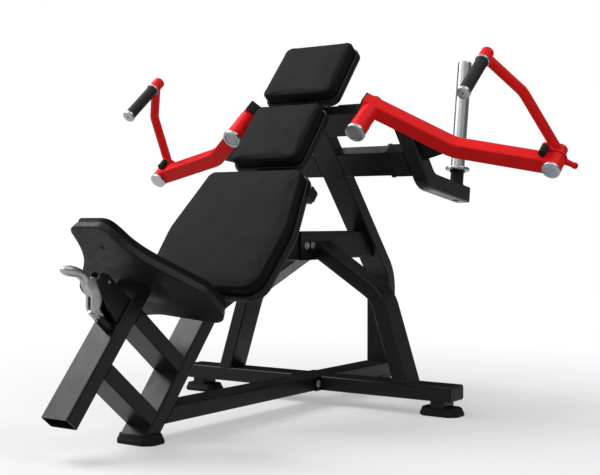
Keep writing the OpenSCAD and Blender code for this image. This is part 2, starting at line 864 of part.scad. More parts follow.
module stop_beams() {
  color(frame_black) both_sides() {
    side_beam(stop_p, stop_x);
    lean() translate([stop_x, stop_p, -t_mid]) rotate([90, 0, 90]) linear_extrude(stop_flange_t)
      round_rect(tube_w + 2 * stop_lip, tube_d + 2 * stop_lip, tube_r);
  }
}

module stop_bumpers() {
  start = stop_x + stop_flange_t;
  color(rubber) both_sides() lean() translate([start, stop_p, -t_mid]) rotate([90, 0, 90])
    linear_extrude(bracket_x - stop_gap - start)
      round_rect(tube_w + 2 * bumper_lip, tube_d + 2 * bumper_lip, tube_r);
}

// Pads on the spine

// Half width of the lower pad's upper part, at a height above its bottom edge
function lower_half_w(up) =
  let (f = (up - lower_pad_rise) / (lower_pad_len - lower_pad_rise))
  (lower_pad_w + (lower_pad_top_w - lower_pad_w) * f) / 2;

// Square bar from the spine's side to an end plate
module pad_bar(s, end_x) {
  len = end_x - tube_w / 2 - tube_wall;
  translate([tube_w / 2, s, spine_front - bracket_bar_w / 2]) {
    tube_x(len, bracket_bar_w, bracket_bar_w);
    translate([len, 0, 0]) rotate([90, 0, 90]) linear_extrude(tube_wall)
      round_rect(bracket_bar_w, bracket_bar_w, tube_r);
  }
}

module pad_brackets() {
  color(frame_black) both_sides() bench() {
    pad_bar(lower_bar_s, lower_pad_top_w / 2 - bar_inset);
    pad_bar(upper_bar_s, lower_half_w(bar_from_bottom) + bar_stub);
    pad_bar(upper_pad_s + upper_pad_len / 2, upper_pad_top_w / 2 - bar_inset);
    pad_bar(head_pad_s + head_pad_len / 2, head_pad_top_w / 2 - bar_inset);
  }
}

module pad_boards() {
  color(plastic) bench() translate([0, 0, spine_front]) {
    translate([0, lower_pad_s, 0]) tray(lower_outline, 5, [bar_from_bottom]);
    translate([0, upper_pad_s, 0]) tray(upper_outline, 6, []);
    translate([0, head_pad_s, 0]) tray(head_outline, 6, []);
  }
}

module lower_back_pad() {
  color(vinyl) bench() translate([0, lower_pad_s, pad_n]) cushion(lower_outline, cushion_t, 6);
}

module upper_back_pad() {
  color(vinyl) bench() translate([0, upper_pad_s, pad_n]) cushion(upper_outline, cushion_t, 8);
}

module head_pad() {
  color(vinyl) bench() translate([0, head_pad_s, pad_n]) cushion(head_outline, cushion_t, 8);
}

// Arms

module arm(side) {
  start = pivot - arm_back * arm_dir1;
  color(paint_red) on_side(side) difference() {
    union() {
      lean() translate([start[0], start[1], -(arm_t1 + arm_t2) / 2]) rotate([0, 0, -arm_slope1])
        bent_tube(arm_back + arm_l1, arm_bend_r, arm_turn, arm_l2, arm_w, tube_d);
      bar(pivot, hub_d, hub_t1, arm_t1 + tube_wall);
      bar(pivot, arm_w - hub_set, arm_t1, hub_t2);
      bar(elbow, hub_d, elbow_t1, hub_t2);
    }
    bar(pivot, bearing_d, hub_t1 - bore_run, hub_t2 + bore_run);
    bar(elbow, bush_d, elbow_t1 - bore_run, hub_t2 + bore_run);
  }
}

// Plastic plugs on the arm's inner end and the weight bracket's end
module arm_plugs(side) {
  start = pivot - arm_back * arm_dir1;
  color(plastic) on_side(side) {
    lean() translate([start[0], start[1], -(arm_t1 + arm_t2) / 2]) rotate([0, 0, 180 - arm_slope1])
      rotate([90, 0, 90]) linear_extrude(plug_t) round_rect(arm_w, tube_d, tube_r);
    at_bracket_end() rotate([90, 0, 90]) linear_extrude(plug_t) round_rect(bracket_w, bracket_w, tube_r);
  }
}

module ring(at, outer, inner, t1, t2) {
  lean() translate([at[0], at[1], -t2]) difference() {
    cylinder(h = t2 - t1, d = outer);
    translate([0, 0, -bore_run]) cylinder(h = t2 - t1 + 2 * bore_run, d = inner);
  }
}

// Two bearings on the pivot shaft and two bushes on the elbow shaft
module arm_bearings(side) {
  bore = shaft_d + 2 * run_gap;
  bush_bore = elbow_d + 2 * run_gap;
  bush_t1 = elbow_t1 + ring_t + 2;
  color(chrome) on_side(side) {
    ring(pivot, bearing_d, bore, hub_t1 + bearing_set, hub_t1 + bearing_set + bearing_len);
    ring(pivot, bearing_d, bore, arm_t2 - bearing_len, arm_t2);
    ring(elbow, bush_d, bush_bore, bush_t1, bush_t1 + bearing_len * 0.8);
    ring(elbow, bush_d, bush_bore, arm_t2 - bearing_len * 0.8, arm_t2);
  }
}

// Chrome covers on the front of the pivot and elbow housings
module arm_caps(side) {
  color(chrome) on_side(side) {
    difference() {
      bar(pivot, cap_d, hub_t1 - cap_t, hub_t1);
      bar(pivot, bearing_d, hub_t1 - cap_t + cap_wall_t, hub_t1 + bore_run);
    }
    bar(elbow, hub_d, elbow_t1 - elbow_cap_t, elbow_t1);
  }
}

// Weight bracket

// Bend of the weight bracket: X runs back along its lower stretch, Z to the right
module at_bracket_bend() {
  lean() translate([bracket_mid_x, bracket_p, -bracket_mid_t]) rotate([-90, 0, -90]) children();
}

module at_bracket_end() {
  at_bracket_bend() rotate([0, 0, bracket_turn]) translate([bracket_len, 0, 0]) children();
}

// Foot of the weight horn on the bracket's upper face, Z up the horn
module at_horn() {
  at_bracket_end() translate([-horn_inset, bracket_w / 2, 0]) rotate([-90, 0, 0]) children();
}

// Region of the arm's inner stretch and all above it
module above_arm_underside() {
  slab(-far / 2, far / 2) translate(pivot) rotate(-arm_slope1) translate([-far / 2, -arm_w / 2]) square(far);
}

module weight_bracket(side) {
  rise = pivot_p - bracket_p;
  inner = pivot + (bracket_x + bracket_w - pivot_x) / cos(arm_slope1) * arm_dir1;
  outer_x = bracket_x + bracket_w;
  color(frame_black) on_side(side) difference() {
    union() {
      at_bracket_bend() translate([-rise, 0, 0])
        bent_tube(rise, bracket_bend_r, bracket_turn, bracket_len, bracket_w, bracket_w);
      slab(bracket_mid_t - web_t / 2, bracket_mid_t + web_t / 2) polygon([
        [outer_x, inner[1] - web_h],
        [outer_x + web_w, inner[1] - web_h + web_rise],
        [outer_x + web_w, inner[1]],
        [outer_x, inner[1]]
      ]);
    }
    above_arm_underside();
    at_horn() translate([0, 0, -bracket_w / 2]) cylinder(h = bracket_w, d = horn_bolt_d);
    at_horn() translate([0, 0, -2 * bracket_w]) cylinder(h = 1.5 * bracket_w, d = horn_bolt_hole);
  }
}

module horn_sleeve(side) {
  color(plastic) on_side(side) at_horn() difference() {
    cylinder(h = sleeve_h, d = sleeve_d);
    translate([0, 0, -bore_run]) cylinder(h = sleeve_h + 2 * bore_run, d = horn_bolt_d);
  }
}

module weight_horn(side) {
  color(chrome) on_side(side) at_horn() translate([0, 0, sleeve_h]) difference() {
    union() {
      cylinder(h = collar_t, d = collar_d);
      translate([0, 0, collar_t]) cylinder(h = horn_len - horn_chamfer, d = horn_d);
      translate([0, 0, collar_t + horn_len - horn_chamfer])
        cylinder(h = horn_chamfer, d1 = horn_d, d2 = horn_d - 2 * horn_chamfer);
    }
    translate([0, 0, -bore_run]) cylinder(h = collar_t + horn_thread + horn_bolt_d / 2, d = horn_bolt_d);
  }
}

// Bolt from inside the bracket, through the sleeve and into the horn
module horn_bolt(side) {
  color(chrome) on_side(side) at_horn() {
    translate([0, 0, -tube_wall])
      cylinder(h = tube_wall + sleeve_h + collar_t + horn_thread, d = horn_bolt_d);
    translate([0, 0, -tube_wall - horn_head_h])
      cylinder(h = horn_head_h, d = 1.5 * horn_bolt_d, $fn = 6);
  }
}

// Handles

module handle_link(side) {
  color(paint_red) on_side(side) {
    difference() {
      union() {
        lean() translate([elbow[0], elbow[1], -link_t]) rotate([0, 0, link_angle])
          bent_path(link_l1, link_bend_r, link_turn, link_l2) {
            circle(d = link_d);
            circle(d = link_d + 2 * bend_swell);
          }
        bar(elbow, link_hub_d, plate_t1, link_hub_t2);
        slab(plate_t1, plate_t1 + stop_plate_t) stop_plate();
      }
      bar(elbow, elbow_d, plate_t1 - bore_run, link_t);
      bar(handle_stop_at, stop_stud_d, plate_t1 - bore_run, plate_t1 + stop_plate_t + bore_run);
    }
    bar(grip_at, cross_tube_d, cross_tube_t1, cross_tube_t2);
    bar(grip_at, bar_d, grip_t1 - end_cap_len / 2, link_t);
  }
}

// Flat plate round the elbow with an ear for the rubber stop and a round tail
module stop_plate() {
  tail = elbow + tail_reach * [cos(tail_angle), -sin(tail_angle)];
  ear = handle_stop_at;
  across = unit(left_of(tail - elbow));
  along = unit(left_of(ear - elbow));
  translate(elbow) circle(d = hub_d * 1.1);
  translate(ear) circle(d = stop_d);
  translate(tail) circle(tail_r);
  polygon([
    elbow + tail_root_half_w * across, elbow - tail_root_half_w * across,
    tail - tail_half_w * across, tail + tail_half_w * across
  ]);
  polygon([
    elbow + ear_root_half_w * along, elbow - ear_root_half_w * along,
    ear - ear_half_w * along, ear + ear_half_w * along
  ]);
}

// Rubber stop that lies on the arm's upper face
module handle_stop(side) {
  color(rubber) on_side(side) {
    bar(handle_stop_at, stop_d, plate_t1 - stop_len, plate_t1);
    bar(handle_stop_at, stop_stud_d, plate_t1, plate_t1 + stop_plate_t);
  }
}

// Pin fixed in the handle's hub, with a ring that holds it in the arm
module elbow_shaft(side) {
  front = elbow_t1 + ring_t + 1.5;
  color(chrome) on_side(side) {
    bar(elbow, elbow_d, front - ring_t, link_t);
    bar(elbow, ring_d, front - ring_t, front);
  }
}

function rib_profile(count, len, outer, inner) = concat(
  [[inner, 0]],
  [for (k = [0 : count - 1]) each [
    [outer - rib_depth, len * k / count], [outer, len * (k + 0.25) / count],
    [outer, len * (k + 0.75) / count]]],
  [[outer - rib_depth, len], [inner, len]]);

module grip(side) {
  color(rubber) on_side(side) lean() translate([grip_at[0], grip_at[1], -grip_t2]) rotate_extrude()
    polygon(rib_profile(grip_ribs, grip_len, grip_d / 2, bar_d / 2));
}

// Chrome ring at the grip's upper end and drilled cap at its lower end
module grip_collars(side) {
  cap_front = grip_t1 - end_cap_len;
  color(chrome) on_side(side) {
    ring(grip_at, grip_d + 6, bar_d, grip_t2, cross_tube_t1);
    difference() {
      bar(grip_at, grip_d + 4, cap_front, grip_t1);
      bar(grip_at, bar_d, grip_t1 - end_cap_len / 2, grip_t1 + bore_run);
      bar(grip_at, bar_d * 0.4, cap_front - bore_run, grip_t1);
    }
  }
}

// Seat

// Seat plane: X across, Y square out of the bench, Z up the bench
module seat_plane(s) {
  bench() translate([0, s, 0]) rotate([90, 0, 180]) mirror([1, 0, 0]) children();
}

module seat_board() {
  color(plastic) seat_plane(seat_s) board(seat_points, 5);
}

module seat_pad() {
  color(vinyl) seat_plane(seat_s + board_t) cushion(seat_points, seat_cushion_t, 5);
}

// Block on top of the seat post that carries the board and rests on the seat tube
module seat_bracket() {
  color(frame_black) bench() translate([0, seat_tube_top + stop_gap, seat_mid_n])
    tube_y(seat_rise - stop_gap, tube_w, tube_d);
}

module seat_post() {
  color(chrome) bench() difference() {
    translate([0, seat_s, seat_mid_n]) rotate([90, 0, 0]) linear_extrude(post_len + seat_rise) difference() {
      square([post_w, post_d], center = true);
      square([post_w - 2 * post_wall, post_d - 2 * post_wall], center = true);
    }
    for (k = [0 : floor(seat_travel / lock_pitch)])
      translate([lever_x, plunger_s - k * lock_pitch, seat_mid_n]) cylinder(h = tube_d, d = plunger_d + 1);
  }
}

// Seat lever and lock

module lever_bracket() {
  tip_s = lever_s + 15;
  low_s = plunger_s + housing_d / 2 + 2;
  color(frame_black) bench() for (side = [-1, 1])
    translate([lever_x + side * (lever_t / 2 + cheek_gap + cheek_t / 2) + cheek_t / 2, 0, 0])
      rotate([0, -90, 0]) linear_extrude(cheek_t) difference() {
        polygon([
          [tube_front_n, low_s], [tube_front_n, seat_tube_top],
          [lever_n + 16, tip_s], [lever_n + 33, tip_s - 7],
          [lever_n + 40, tip_s - 21], [lever_n + 37, tip_s - 34],
          [lever_n + 26, tip_s - 42], [lever_n - 46, tip_s - 73]
        ]);
        translate([lever_n, lever_s]) circle(d = lever_pin_d + 2 * run_gap);
      }
}

module plunger_housing() {
  color(frame_black) bench() translate([lever_x, plunger_s, tube_front_n]) difference() {
    cylinder(h = housing_len, d = housing_d);
    translate([0, 0, -bore_run]) cylinder(h = housing_len + 2 * bore_run, d = plunger_d + 2 * run_gap);
  }
}

module lock_plunger() {
  color(chrome) bench() translate([lever_x, plunger_s, 0]) difference() {
    union() {
      translate([0, 0, tube_front_n - tube_wall]) cylinder(h = housing_len + tube_wall + 8, d = plunger_d);
      translate([-tang_t / 2, -tang_w / 2, tube_front_n + housing_len + 8])
        cube([tang_t, tang_w, clevis_rise - housing_len + 2]);
    }
    translate([0, 0, clevis_n]) {
      cube([2 * tang_t, clevis_slot_l - clevis_pin_d, clevis_pin_d + 2 * clevis_gap], center = true);
      for (side = [-1, 1]) translate([-tang_t, side * (clevis_slot_l - clevis_pin_d) / 2, 0])
        rotate([0, 90, 0]) cylinder(h = 2 * tang_t, d = clevis_pin_d + 2 * clevis_gap);
    }
  }
}

// Place in the lever's plane: Z across the lever
module at_lever(s, n) {
  bench() translate([lever_x, s, n]) rotate([0, 90, 0]) children();
}

module seat_lever() {
  neck = [lever_s, lever_n] + lever_neck;
  tip = [lever_s, lever_n] + lever_tip;
  slot = tang_t + 2;
  color(chrome) difference() {
    union() {
      hull() {
        at_lever(lever_s, lever_n) cylinder(h = lever_t, d = 30, center = true, $fn = 32);
        at_lever(plunger_s, clevis_n) cylinder(h = lever_t - 2, d = 20, center = true, $fn = 32);
        at_lever(lever_s - 40, lever_n + 30) cylinder(h = lever_t - 4, d = 16, center = true, $fn = 32);
      }
      hull() {
        at_lever(lever_s - 14, lever_n + 12) cylinder(h = lever_t - 4, d = 26, center = true, $fn = 32);
        at_lever(neck[0], neck[1]) sphere(d = 22, $fn = 24);
      }
      hull() {
        at_lever(neck[0], neck[1]) sphere(d = 24, $fn = 24);
        at_lever(tip[0], tip[1]) sphere(d = 32, $fn = 24);
      }
    }
    at_lever(plunger_s, clevis_n) cube([60, 40, slot], center = true);
    at_lever(lever_s, lever_n) cylinder(h = 2 * lever_t, d = lever_pin_d, center = true);
    at_lever(plunger_s, clevis_n) cylinder(h = 2 * lever_t, d = clevis_pin_d, center = true);
  }
}

// Pivot pin and clevis pin, both fixed in the lever
module lever_pins() {
  color(chrome) {
    at_lever(lever_s, lever_n)
      cylinder(h = lever_t + 2 * (cheek_t + cheek_gap) + 4, d = lever_pin_d, center = true);
    at_lever(plunger_s, clevis_n) cylinder(h = lever_t + 2, d = clevis_pin_d, center = true);
  }
}

base_beam();
cross_beams();
beam_end_caps();
foot_pads();
foot_posts();
main_spine();
seat_guide_tube();
seat_struts();
guide_bushes();
mid_beam();
rear_post();
legs();
frame_plates();
frame_bolts();
shoulder_beams();
pivot_plates();
pivot_shafts();
shaft_retainers();
stop_beams();
stop_bumpers();
pad_brackets();
pad_boards();
lower_back_pad();
upper_back_pad();
head_pad();
lever_bracket();
plunger_housing();
arm(RIGHT);  // arm_right
arm_plugs(RIGHT);  // arm_plugs_right
arm_bearings(RIGHT);  // arm_bearings_right
arm_caps(RIGHT);  // arm_caps_right
weight_bracket(RIGHT);  // weight_bracket_right
weight_horn(RIGHT);  // weight_horn_right
horn_sleeve(RIGHT);  // horn_sleeve_right
horn_bolt(RIGHT);  // horn_bolt_right
arm(LEFT);  // arm_left
arm_plugs(LEFT);  // arm_plugs_left
arm_bearings(LEFT);  // arm_bearings_left
arm_caps(LEFT);  // arm_caps_left
weight_bracket(LEFT);  // weight_bracket_left
weight_horn(LEFT);  // weight_horn_left
horn_sleeve(LEFT);  // horn_sleeve_left
horn_bolt(LEFT);  // horn_bolt_left
handle_link(RIGHT);  // handle_link_right
handle_stop(RIGHT);  // handle_stop_right
elbow_shaft(RIGHT);  // elbow_shaft_right
grip(RIGHT);  // grip_right
grip_collars(RIGHT);  // grip_collars_right
handle_link(LEFT);  // handle_link_left
handle_stop(LEFT);  // handle_stop_left
elbow_shaft(LEFT);  // elbow_shaft_left
grip(LEFT);  // grip_left
grip_collars(LEFT);  // grip_collars_left
seat_pad();
seat_board();
seat_bracket();
seat_post();
seat_lever();
lever_pins();
lock_plunger();
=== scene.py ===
"""Looks of a plate-loaded incline chest machine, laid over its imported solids."""

import json
import math

import bmesh
import bpy
from bpy.props import FloatProperty, FloatVectorProperty, PointerProperty
from mathutils import Matrix, Vector
from mathutils.bvhtree import BVHTree
from mathutils.geometry import delaunay_2d_cdt
from mathutils.kdtree import KDTree


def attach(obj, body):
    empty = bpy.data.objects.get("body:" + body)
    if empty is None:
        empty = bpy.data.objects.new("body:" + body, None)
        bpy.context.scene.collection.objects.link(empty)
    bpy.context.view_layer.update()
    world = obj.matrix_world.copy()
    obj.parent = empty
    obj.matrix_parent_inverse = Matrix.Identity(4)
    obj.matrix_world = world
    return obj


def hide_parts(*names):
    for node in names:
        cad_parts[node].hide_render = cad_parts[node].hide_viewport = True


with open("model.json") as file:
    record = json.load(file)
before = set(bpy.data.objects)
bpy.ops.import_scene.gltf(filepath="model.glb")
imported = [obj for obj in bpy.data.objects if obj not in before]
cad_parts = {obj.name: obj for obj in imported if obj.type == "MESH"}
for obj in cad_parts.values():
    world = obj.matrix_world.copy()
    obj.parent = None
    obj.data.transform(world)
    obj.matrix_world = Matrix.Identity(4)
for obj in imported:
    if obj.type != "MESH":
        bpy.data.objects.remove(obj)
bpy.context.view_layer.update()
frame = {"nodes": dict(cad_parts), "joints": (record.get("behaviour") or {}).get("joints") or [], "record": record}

bl_info = {
    "name": "Incline Chest Machine",
    "version": (1, 0, 0),
    "blender": (4, 5, 0),
    "location": "View3D > Sidebar > Machine",
    "description": "Dresses the packed solids of an incline chest machine",
    "category": "Object",
}

JOINTS = {joint["name"]: joint for joint in frame["joints"]}
MOUNTS = {mount["name"]: mount for mount in frame["record"]["mounts"]}
SIDES = {"right": 1, "left": -1}

# Directions of the machine: across, up the bench, square out of the bench, back along the pivots
ACROSS = Vector((1, 0, 0))
UP_BENCH = Vector(JOINTS["seat_slide"]["axis"])
OUT_OF_BENCH = ACROSS.cross(UP_BENCH)
BACK = Vector(JOINTS["left_arm_swing"]["axis"])
UP_POST = -BACK.cross(ACROSS)
REAR_FOOT = Vector(MOUNTS["floor"]["pos_m"])


def frame_of(x, y, z, origin):
    """Matrix whose columns are three directions and an origin in metres."""
    made = Matrix.Identity(4)
    for column, axis in enumerate((x, y, z)):
        made.col[column][:3] = axis
    made.translation = origin
    return made


# Working frames, used in millimetres: bench (across, up, out), post (across, up, forward),
# seat (across, out, up) and lever (up, out, across)
MM = Matrix.Scale(0.001, 4)
BENCH = frame_of(ACROSS, UP_BENCH, OUT_OF_BENCH, REAR_FOOT) @ MM
POST = frame_of(ACROSS, UP_POST, -BACK, REAR_FOOT) @ MM
SEAT = frame_of(ACROSS, OUT_OF_BENCH, UP_BENCH, REAR_FOOT) @ MM
LEVER = frame_of(UP_BENCH, OUT_OF_BENCH, ACROSS, REAR_FOOT) @ MM
UPRIGHT = MM.copy()


def linear(code):
    """sRGB hex colour as linear red, green and blue."""
    parts = [int(code[i:i + 2], 16) / 255 for i in (1, 3, 5)]
    return [c / 12.92 if c <= 0.04045 else ((c + 0.055) / 1.055) ** 2.4 for c in parts]


def colour(name, code, description):
    """Colour property with an sRGB hex default."""
    return FloatVectorProperty(name=name, description=description, subtype="COLOR",
                               size=3, min=0, max=1, default=linear(code))


def length(name, millimetres, description):
    """Length property with a default in millimetres."""
    return FloatProperty(name=name, description=description, unit="LENGTH", min=0,
                         default=millimetres / 1000)


class MachineSizes(bpy.types.PropertyGroup):
    """Sizes of the pieces that are made here."""
    pad_mesh: length("Pad mesh", 7, "Mesh size of a pad's cover")
    pad_roll: length("Pad roll", 8, "Radius of a pad's rolled edge")
    pad_crown: length("Pad crown", 4, "Height that the middle of a pad stands over its edge")
    pad_shrink: length("Pad shrink", 2, "Distance a pad is drawn in before it is stuffed")
    pad_swell: length("Pad swell", 3, "Farthest that a point of a pad may swell")
    nose_drop: FloatProperty(name="Nose drop", subtype="FACTOR", min=0, max=0.8, default=0.14,
                             description="Share of its height that the seat loses at its nose")
    seam_radius: length("Seam radius", 1.1, "Radius of the stitched seam round a pad")
    rib_pitch: length("Grip rib pitch", 4, "Distance between the ribs of a grip")
    rib_depth: length("Grip rib depth", 0.9, "Depth of the ribs of a grip")


class MachineColours(bpy.types.PropertyGroup):
    """Colours of the finishes."""
    frame_coat: colour("Frame coat", "#161617", "Black powder coat of the frame")
    arm_coat: colour("Arm coat", "#f01d1f", "Red powder coat of the arms")
    chrome: colour("Chrome", "#9c9ea1", "Chrome plate of horns, caps and collars")
    steel: colour("Steel", "#a9acb0", "Turned and zinc plated steel")
    dull_steel: colour("Dull steel", "#8c8c8e", "Blasted steel of the pivot faces")
    aluminium: colour("Aluminium", "#a4a6a8", "Cast aluminium of the seat lever")
    rubber: colour("Rubber", "#101011", "Moulded rubber of feet and stops")
    grip: colour("Grip", "#262627", "Soft rubber of the grips")
    vinyl: colour("Vinyl", "#131314", "Grained vinyl of the pads")
    plastic: colour("Plastic", "#151516", "Moulded plastic of pad backs and plugs")
    floor: colour("Floor", "#f2f2f2", "Studio floor")


# Materials

# Stretch in which nearly all values of a noise lie
NOISE_SPAN = (0.3, 0.7)


def add(tree, kind, feeds=None, **settings):
    """Add one shader node with its settings; a feed is an input's value or the output it links to."""
    made = tree.nodes.new("ShaderNode" + kind)
    for name, value in settings.items():
        setattr(made, name, value)
    for name, value in (feeds or {}).items():
        if isinstance(value, bpy.types.NodeSocket):
            tree.links.new(value, made.inputs[name])
        else:
            made.inputs[name].default_value = value
    return made


def start_material(name):
    """Empty node material with its tree."""
    made = bpy.data.materials.new(name)
    made.use_nodes = True
    made.node_tree.nodes.clear()
    return made, made.node_tree


def per_metre(millimetres):
    """Texture scale that gives features of this size on an object drawn in metres."""
    return 1000 / millimetres


def rgba(rgb, lift=1.0):
    """Linear colour with its alpha, made lighter or darker."""
    return [min(1, c * lift) for c in rgb] + [1]


def patchy(tree, where, rgb, size, low, high):
    """Colour that drifts a little over patches of the given size."""
    drift = add(tree, "TexNoise", {"Vector": where, "Scale": per_metre(size), "Detail": 3})
    return add(tree, "Mix", {"Factor": drift.outputs["Fac"], "A": rgba(rgb, low), "B": rgba(rgb, high)},
               data_type="RGBA").outputs["Result"]


def uneven(tree, where, size, detail, low, high):
    """Roughness that drifts between two values over patches of the given size."""
    drift = add(tree, "TexNoise", {"Vector": where, "Scale": per_metre(size), "Detail": detail})
    first, last = NOISE_SPAN
    return add(tree, "MapRange", {"Value": drift.outputs["Fac"], "From Min": first, "From Max": last,
                                  "To Min": low, "To Max": high}).outputs["Result"]


def close_material(made, tree, feeds):
    """Put the shader with its feeds at the end of a tree."""
    shader = add(tree, "BsdfPrincipled", feeds)
    add(tree, "OutputMaterial", {"Surface": shader.outputs["BSDF"]})
    return made


def powder_coat(name, rgb, gloss, shine):
    """Baked powder coat: a satin skin with faint orange peel. The peel is drawn at 3 mm to show."""
    made, tree = start_material(name)
    where = add(tree, "TexCoord").outputs["Object"]
    peel = add(tree, "TexNoise", {"Vector": where, "Scale": per_metre(3), "Detail": 2})
    bump = add(tree, "Bump", {"Height": peel.outputs["Fac"], "Strength": 0.1, "Distance": 0.0004})
    return close_material(made, tree, {
        "Base Color": patchy(tree, where, rgb, 90, 0.9, 1.1),
        "Roughness": uneven(tree, where, 45, 4, gloss - 0.04, gloss + 0.04),
        "Normal": bump.outputs["Normal"], "Specular IOR Level": shine})


def chrome_plate(name, rgb):
    """Satin chrome plate: a soft mirror with fine rubbing marks, drawn at 2 mm to show."""
    made, tree = start_material(name)
    where = add(tree, "TexCoord").outputs["Object"]
    rub = add(tree, "TexNoise", {"Vector": where, "Scale": per_metre(2), "Detail": 5})
    bump = add(tree, "Bump", {"Height": rub.outputs["Fac"], "Strength": 0.015, "Distance": 0.0002})
    return close_material(made, tree, {
        "Base Color": patchy(tree, where, rgb, 40, 0.95, 1.03), "Metallic": 1.0,
        "Roughness": uneven(tree, where, 30, 3, 0.28, 0.36), "Normal": bump.outputs["Normal"]})


def turned_steel(name, rgb, rough):
    """Lathe-turned steel: satin, with tool marks drawn at 1.5 mm to show."""
    made, tree = start_material(name)
    where = add(tree, "TexCoord").outputs["Object"]
    marks = add(tree, "TexNoise", {"Vector": where, "Scale": per_metre(1.5), "Detail": 4})
    bump = add(tree, "Bump", {"Height": marks.outputs["Fac"], "Strength": 0.12, "Distance": 0.0003})
    return close_material(made, tree, {
        "Base Color": patchy(tree, where, rgb, 12, 0.85, 1.08), "Metallic": 1.0,
        "Roughness": uneven(tree, where, 14, 3, rough - 0.07, rough + 0.07),
        "Normal": bump.outputs["Normal"]})


def cast_aluminium(name, rgb):
    """Tumbled aluminium casting: soft shine with a slightly pitted skin of 2.5 mm."""
    made, tree = start_material(name)
    where = add(tree, "TexCoord").outputs["Object"]
    pits = add(tree, "TexNoise", {"Vector": where, "Scale": per_metre(2.5), "Detail": 4})
    bump = add(tree, "Bump", {"Height": pits.outputs["Fac"], "Strength": 0.15, "Distance": 0.0005})
    return close_material(made, tree, {
        "Base Color": patchy(tree, where, rgb, 18, 0.9, 1.05), "Metallic": 1.0,
        "Roughness": uneven(tree, where, 2.5, 4, 0.32, 0.44), "Normal": bump.outputs["Normal"]})


def moulded(name, rgb, grit, rough):
    """Moulded rubber or plastic: dull, with the spark-eroded grit of its mould."""
    made, tree = start_material(name)
    where = add(tree, "TexCoord").outputs["Object"]
    pits = add(tree, "TexNoise", {"Vector": where, "Scale": per_metre(grit), "Detail": 3})
    bump = add(tree, "Bump", {"Height": pits.outputs["Fac"], "Strength": 0.25, "Distance": 0.0004})
    return close_material(made, tree, {
        "Base Color": patchy(tree, where, rgb, 50, 0.88, 1.15),
        "Roughness": uneven(tree, where, 35, 4, rough - 0.06, rough + 0.06),
        "Normal": bump.outputs["Normal"], "Specular IOR Level": 0.17})


def grained_vinyl(name, rgb):
    """Upholstery vinyl: dull, with an embossed leather grain whose 2.4 mm cells are drawn to show."""
    made, tree = start_material(name)
    where = add(tree, "TexCoord").outputs["Object"]
    warp = add(tree, "TexNoise", {"Vector": where, "Scale": per_metre(9), "Detail": 2})
    bent = add(tree, "MixRGB", {"Fac": 0.004, "Color1": where, "Color2": warp.outputs["Color"]})
    cells = add(tree, "TexVoronoi", {"Vector": bent.outputs["Color"], "Scale": per_metre(2.4)},
                feature="DISTANCE_TO_EDGE")
    grain = add(tree, "Bump", {"Height": cells.outputs["Distance"], "Strength": 0.3, "Distance": 0.0006})
    return close_material(made, tree, {
        "Base Color": patchy(tree, where, rgb, 25, 0.97, 1.03),
        "Roughness": uneven(tree, where, 60, 3, 0.6, 0.64),
        "Normal": grain.outputs["Normal"], "Specular IOR Level": 0.055})


def finish(name):
    """The named finish, made the first time it is asked for."""
    known = bpy.data.materials.get(FINISH_NAMES[name])
    if known:
        return known
    shades = bpy.context.scene.machine_colours
    makers = {
        "black_paint": lambda label: powder_coat(label, shades.frame_coat, gloss=0.33, shine=0.19),
        "red_paint": lambda label: powder_coat(label, shades.arm_coat, gloss=0.4, shine=0.12),
        "chrome": lambda label: chrome_plate(label, shades.chrome),
        "steel": lambda label: turned_steel(label, shades.steel, rough=0.33),
        "dull_steel": lambda label: turned_steel(label, shades.dull_steel, rough=0.5),
        "aluminium": lambda label: cast_aluminium(label, shades.aluminium),
        "rubber": lambda label: moulded(label, shades.rubber, grit=1.6, rough=0.7),
        "grip_rubber": lambda label: moulded(label, shades.grip, grit=1.6, rough=0.6),
        "black_plastic": lambda label: moulded(label, shades.plastic, grit=1.2, rough=0.5),
        "vinyl": lambda label: grained_vinyl(label, shades.vinyl),
    }
    return makers[name](FINISH_NAMES[name])


FINISH_NAMES = {
    "black_paint": "Powder coat, satin black",
    "red_paint": "Powder coat, satin red",
    "chrome": "Chrome plate, satin",
    "steel": "Steel, turned",
    "dull_steel": "Steel, blasted",
    "aluminium": "Aluminium, cast",
    "rubber": "Rubber, moulded",
    "grip_rubber": "Rubber, soft ribbed",
    "black_plastic": "ABS, moulded black",
    "vinyl": "Vinyl, grained black",
}

# Meshes


def smooth(mesh, angle=32):
    """Smooth shading with edges kept sharp above an angle in degrees."""
    mesh.polygons.foreach_set("use_smooth", [True] * len(mesh.polygons))
    mesh.set_sharp_from_angle(angle=math.radians(angle))


def piece(name, bm, body, slot, hides=(), angle=32, look=None):
    """Turn a bmesh into a piece that rides on a body."""
    bmesh.ops.recalc_face_normals(bm, faces=bm.faces)
    mesh = bpy.data.meshes.new(name)
    bm.to_mesh(mesh)
    bm.free()
    smooth(mesh, angle)
    mesh.materials.append(finish(look or slot))
    made = bpy.data.objects.new(name, mesh)
    bpy.context.scene.collection.objects.link(made)
    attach(made, body)
    if hides:
        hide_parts(*hides)
    return made


def ring_of(bm, points, place):
    """New vertices at points given in a place's frame."""
    return [bm.verts.new(place @ Vector(p)) for p in points]


def skin(bm, rings, cap_first=True, cap_last=True):
    """Quads between equal rings, with flat ends."""
    for below, above in zip(rings, rings[1:]):
        n = len(below)
        for i in range(n):
            j = (i + 1) % n
            bm.faces.new((below[i], below[j], above[j], above[i]))
    if cap_first:
        bm.faces.new(rings[0][::-1])
    if cap_last:
        bm.faces.new(rings[-1])


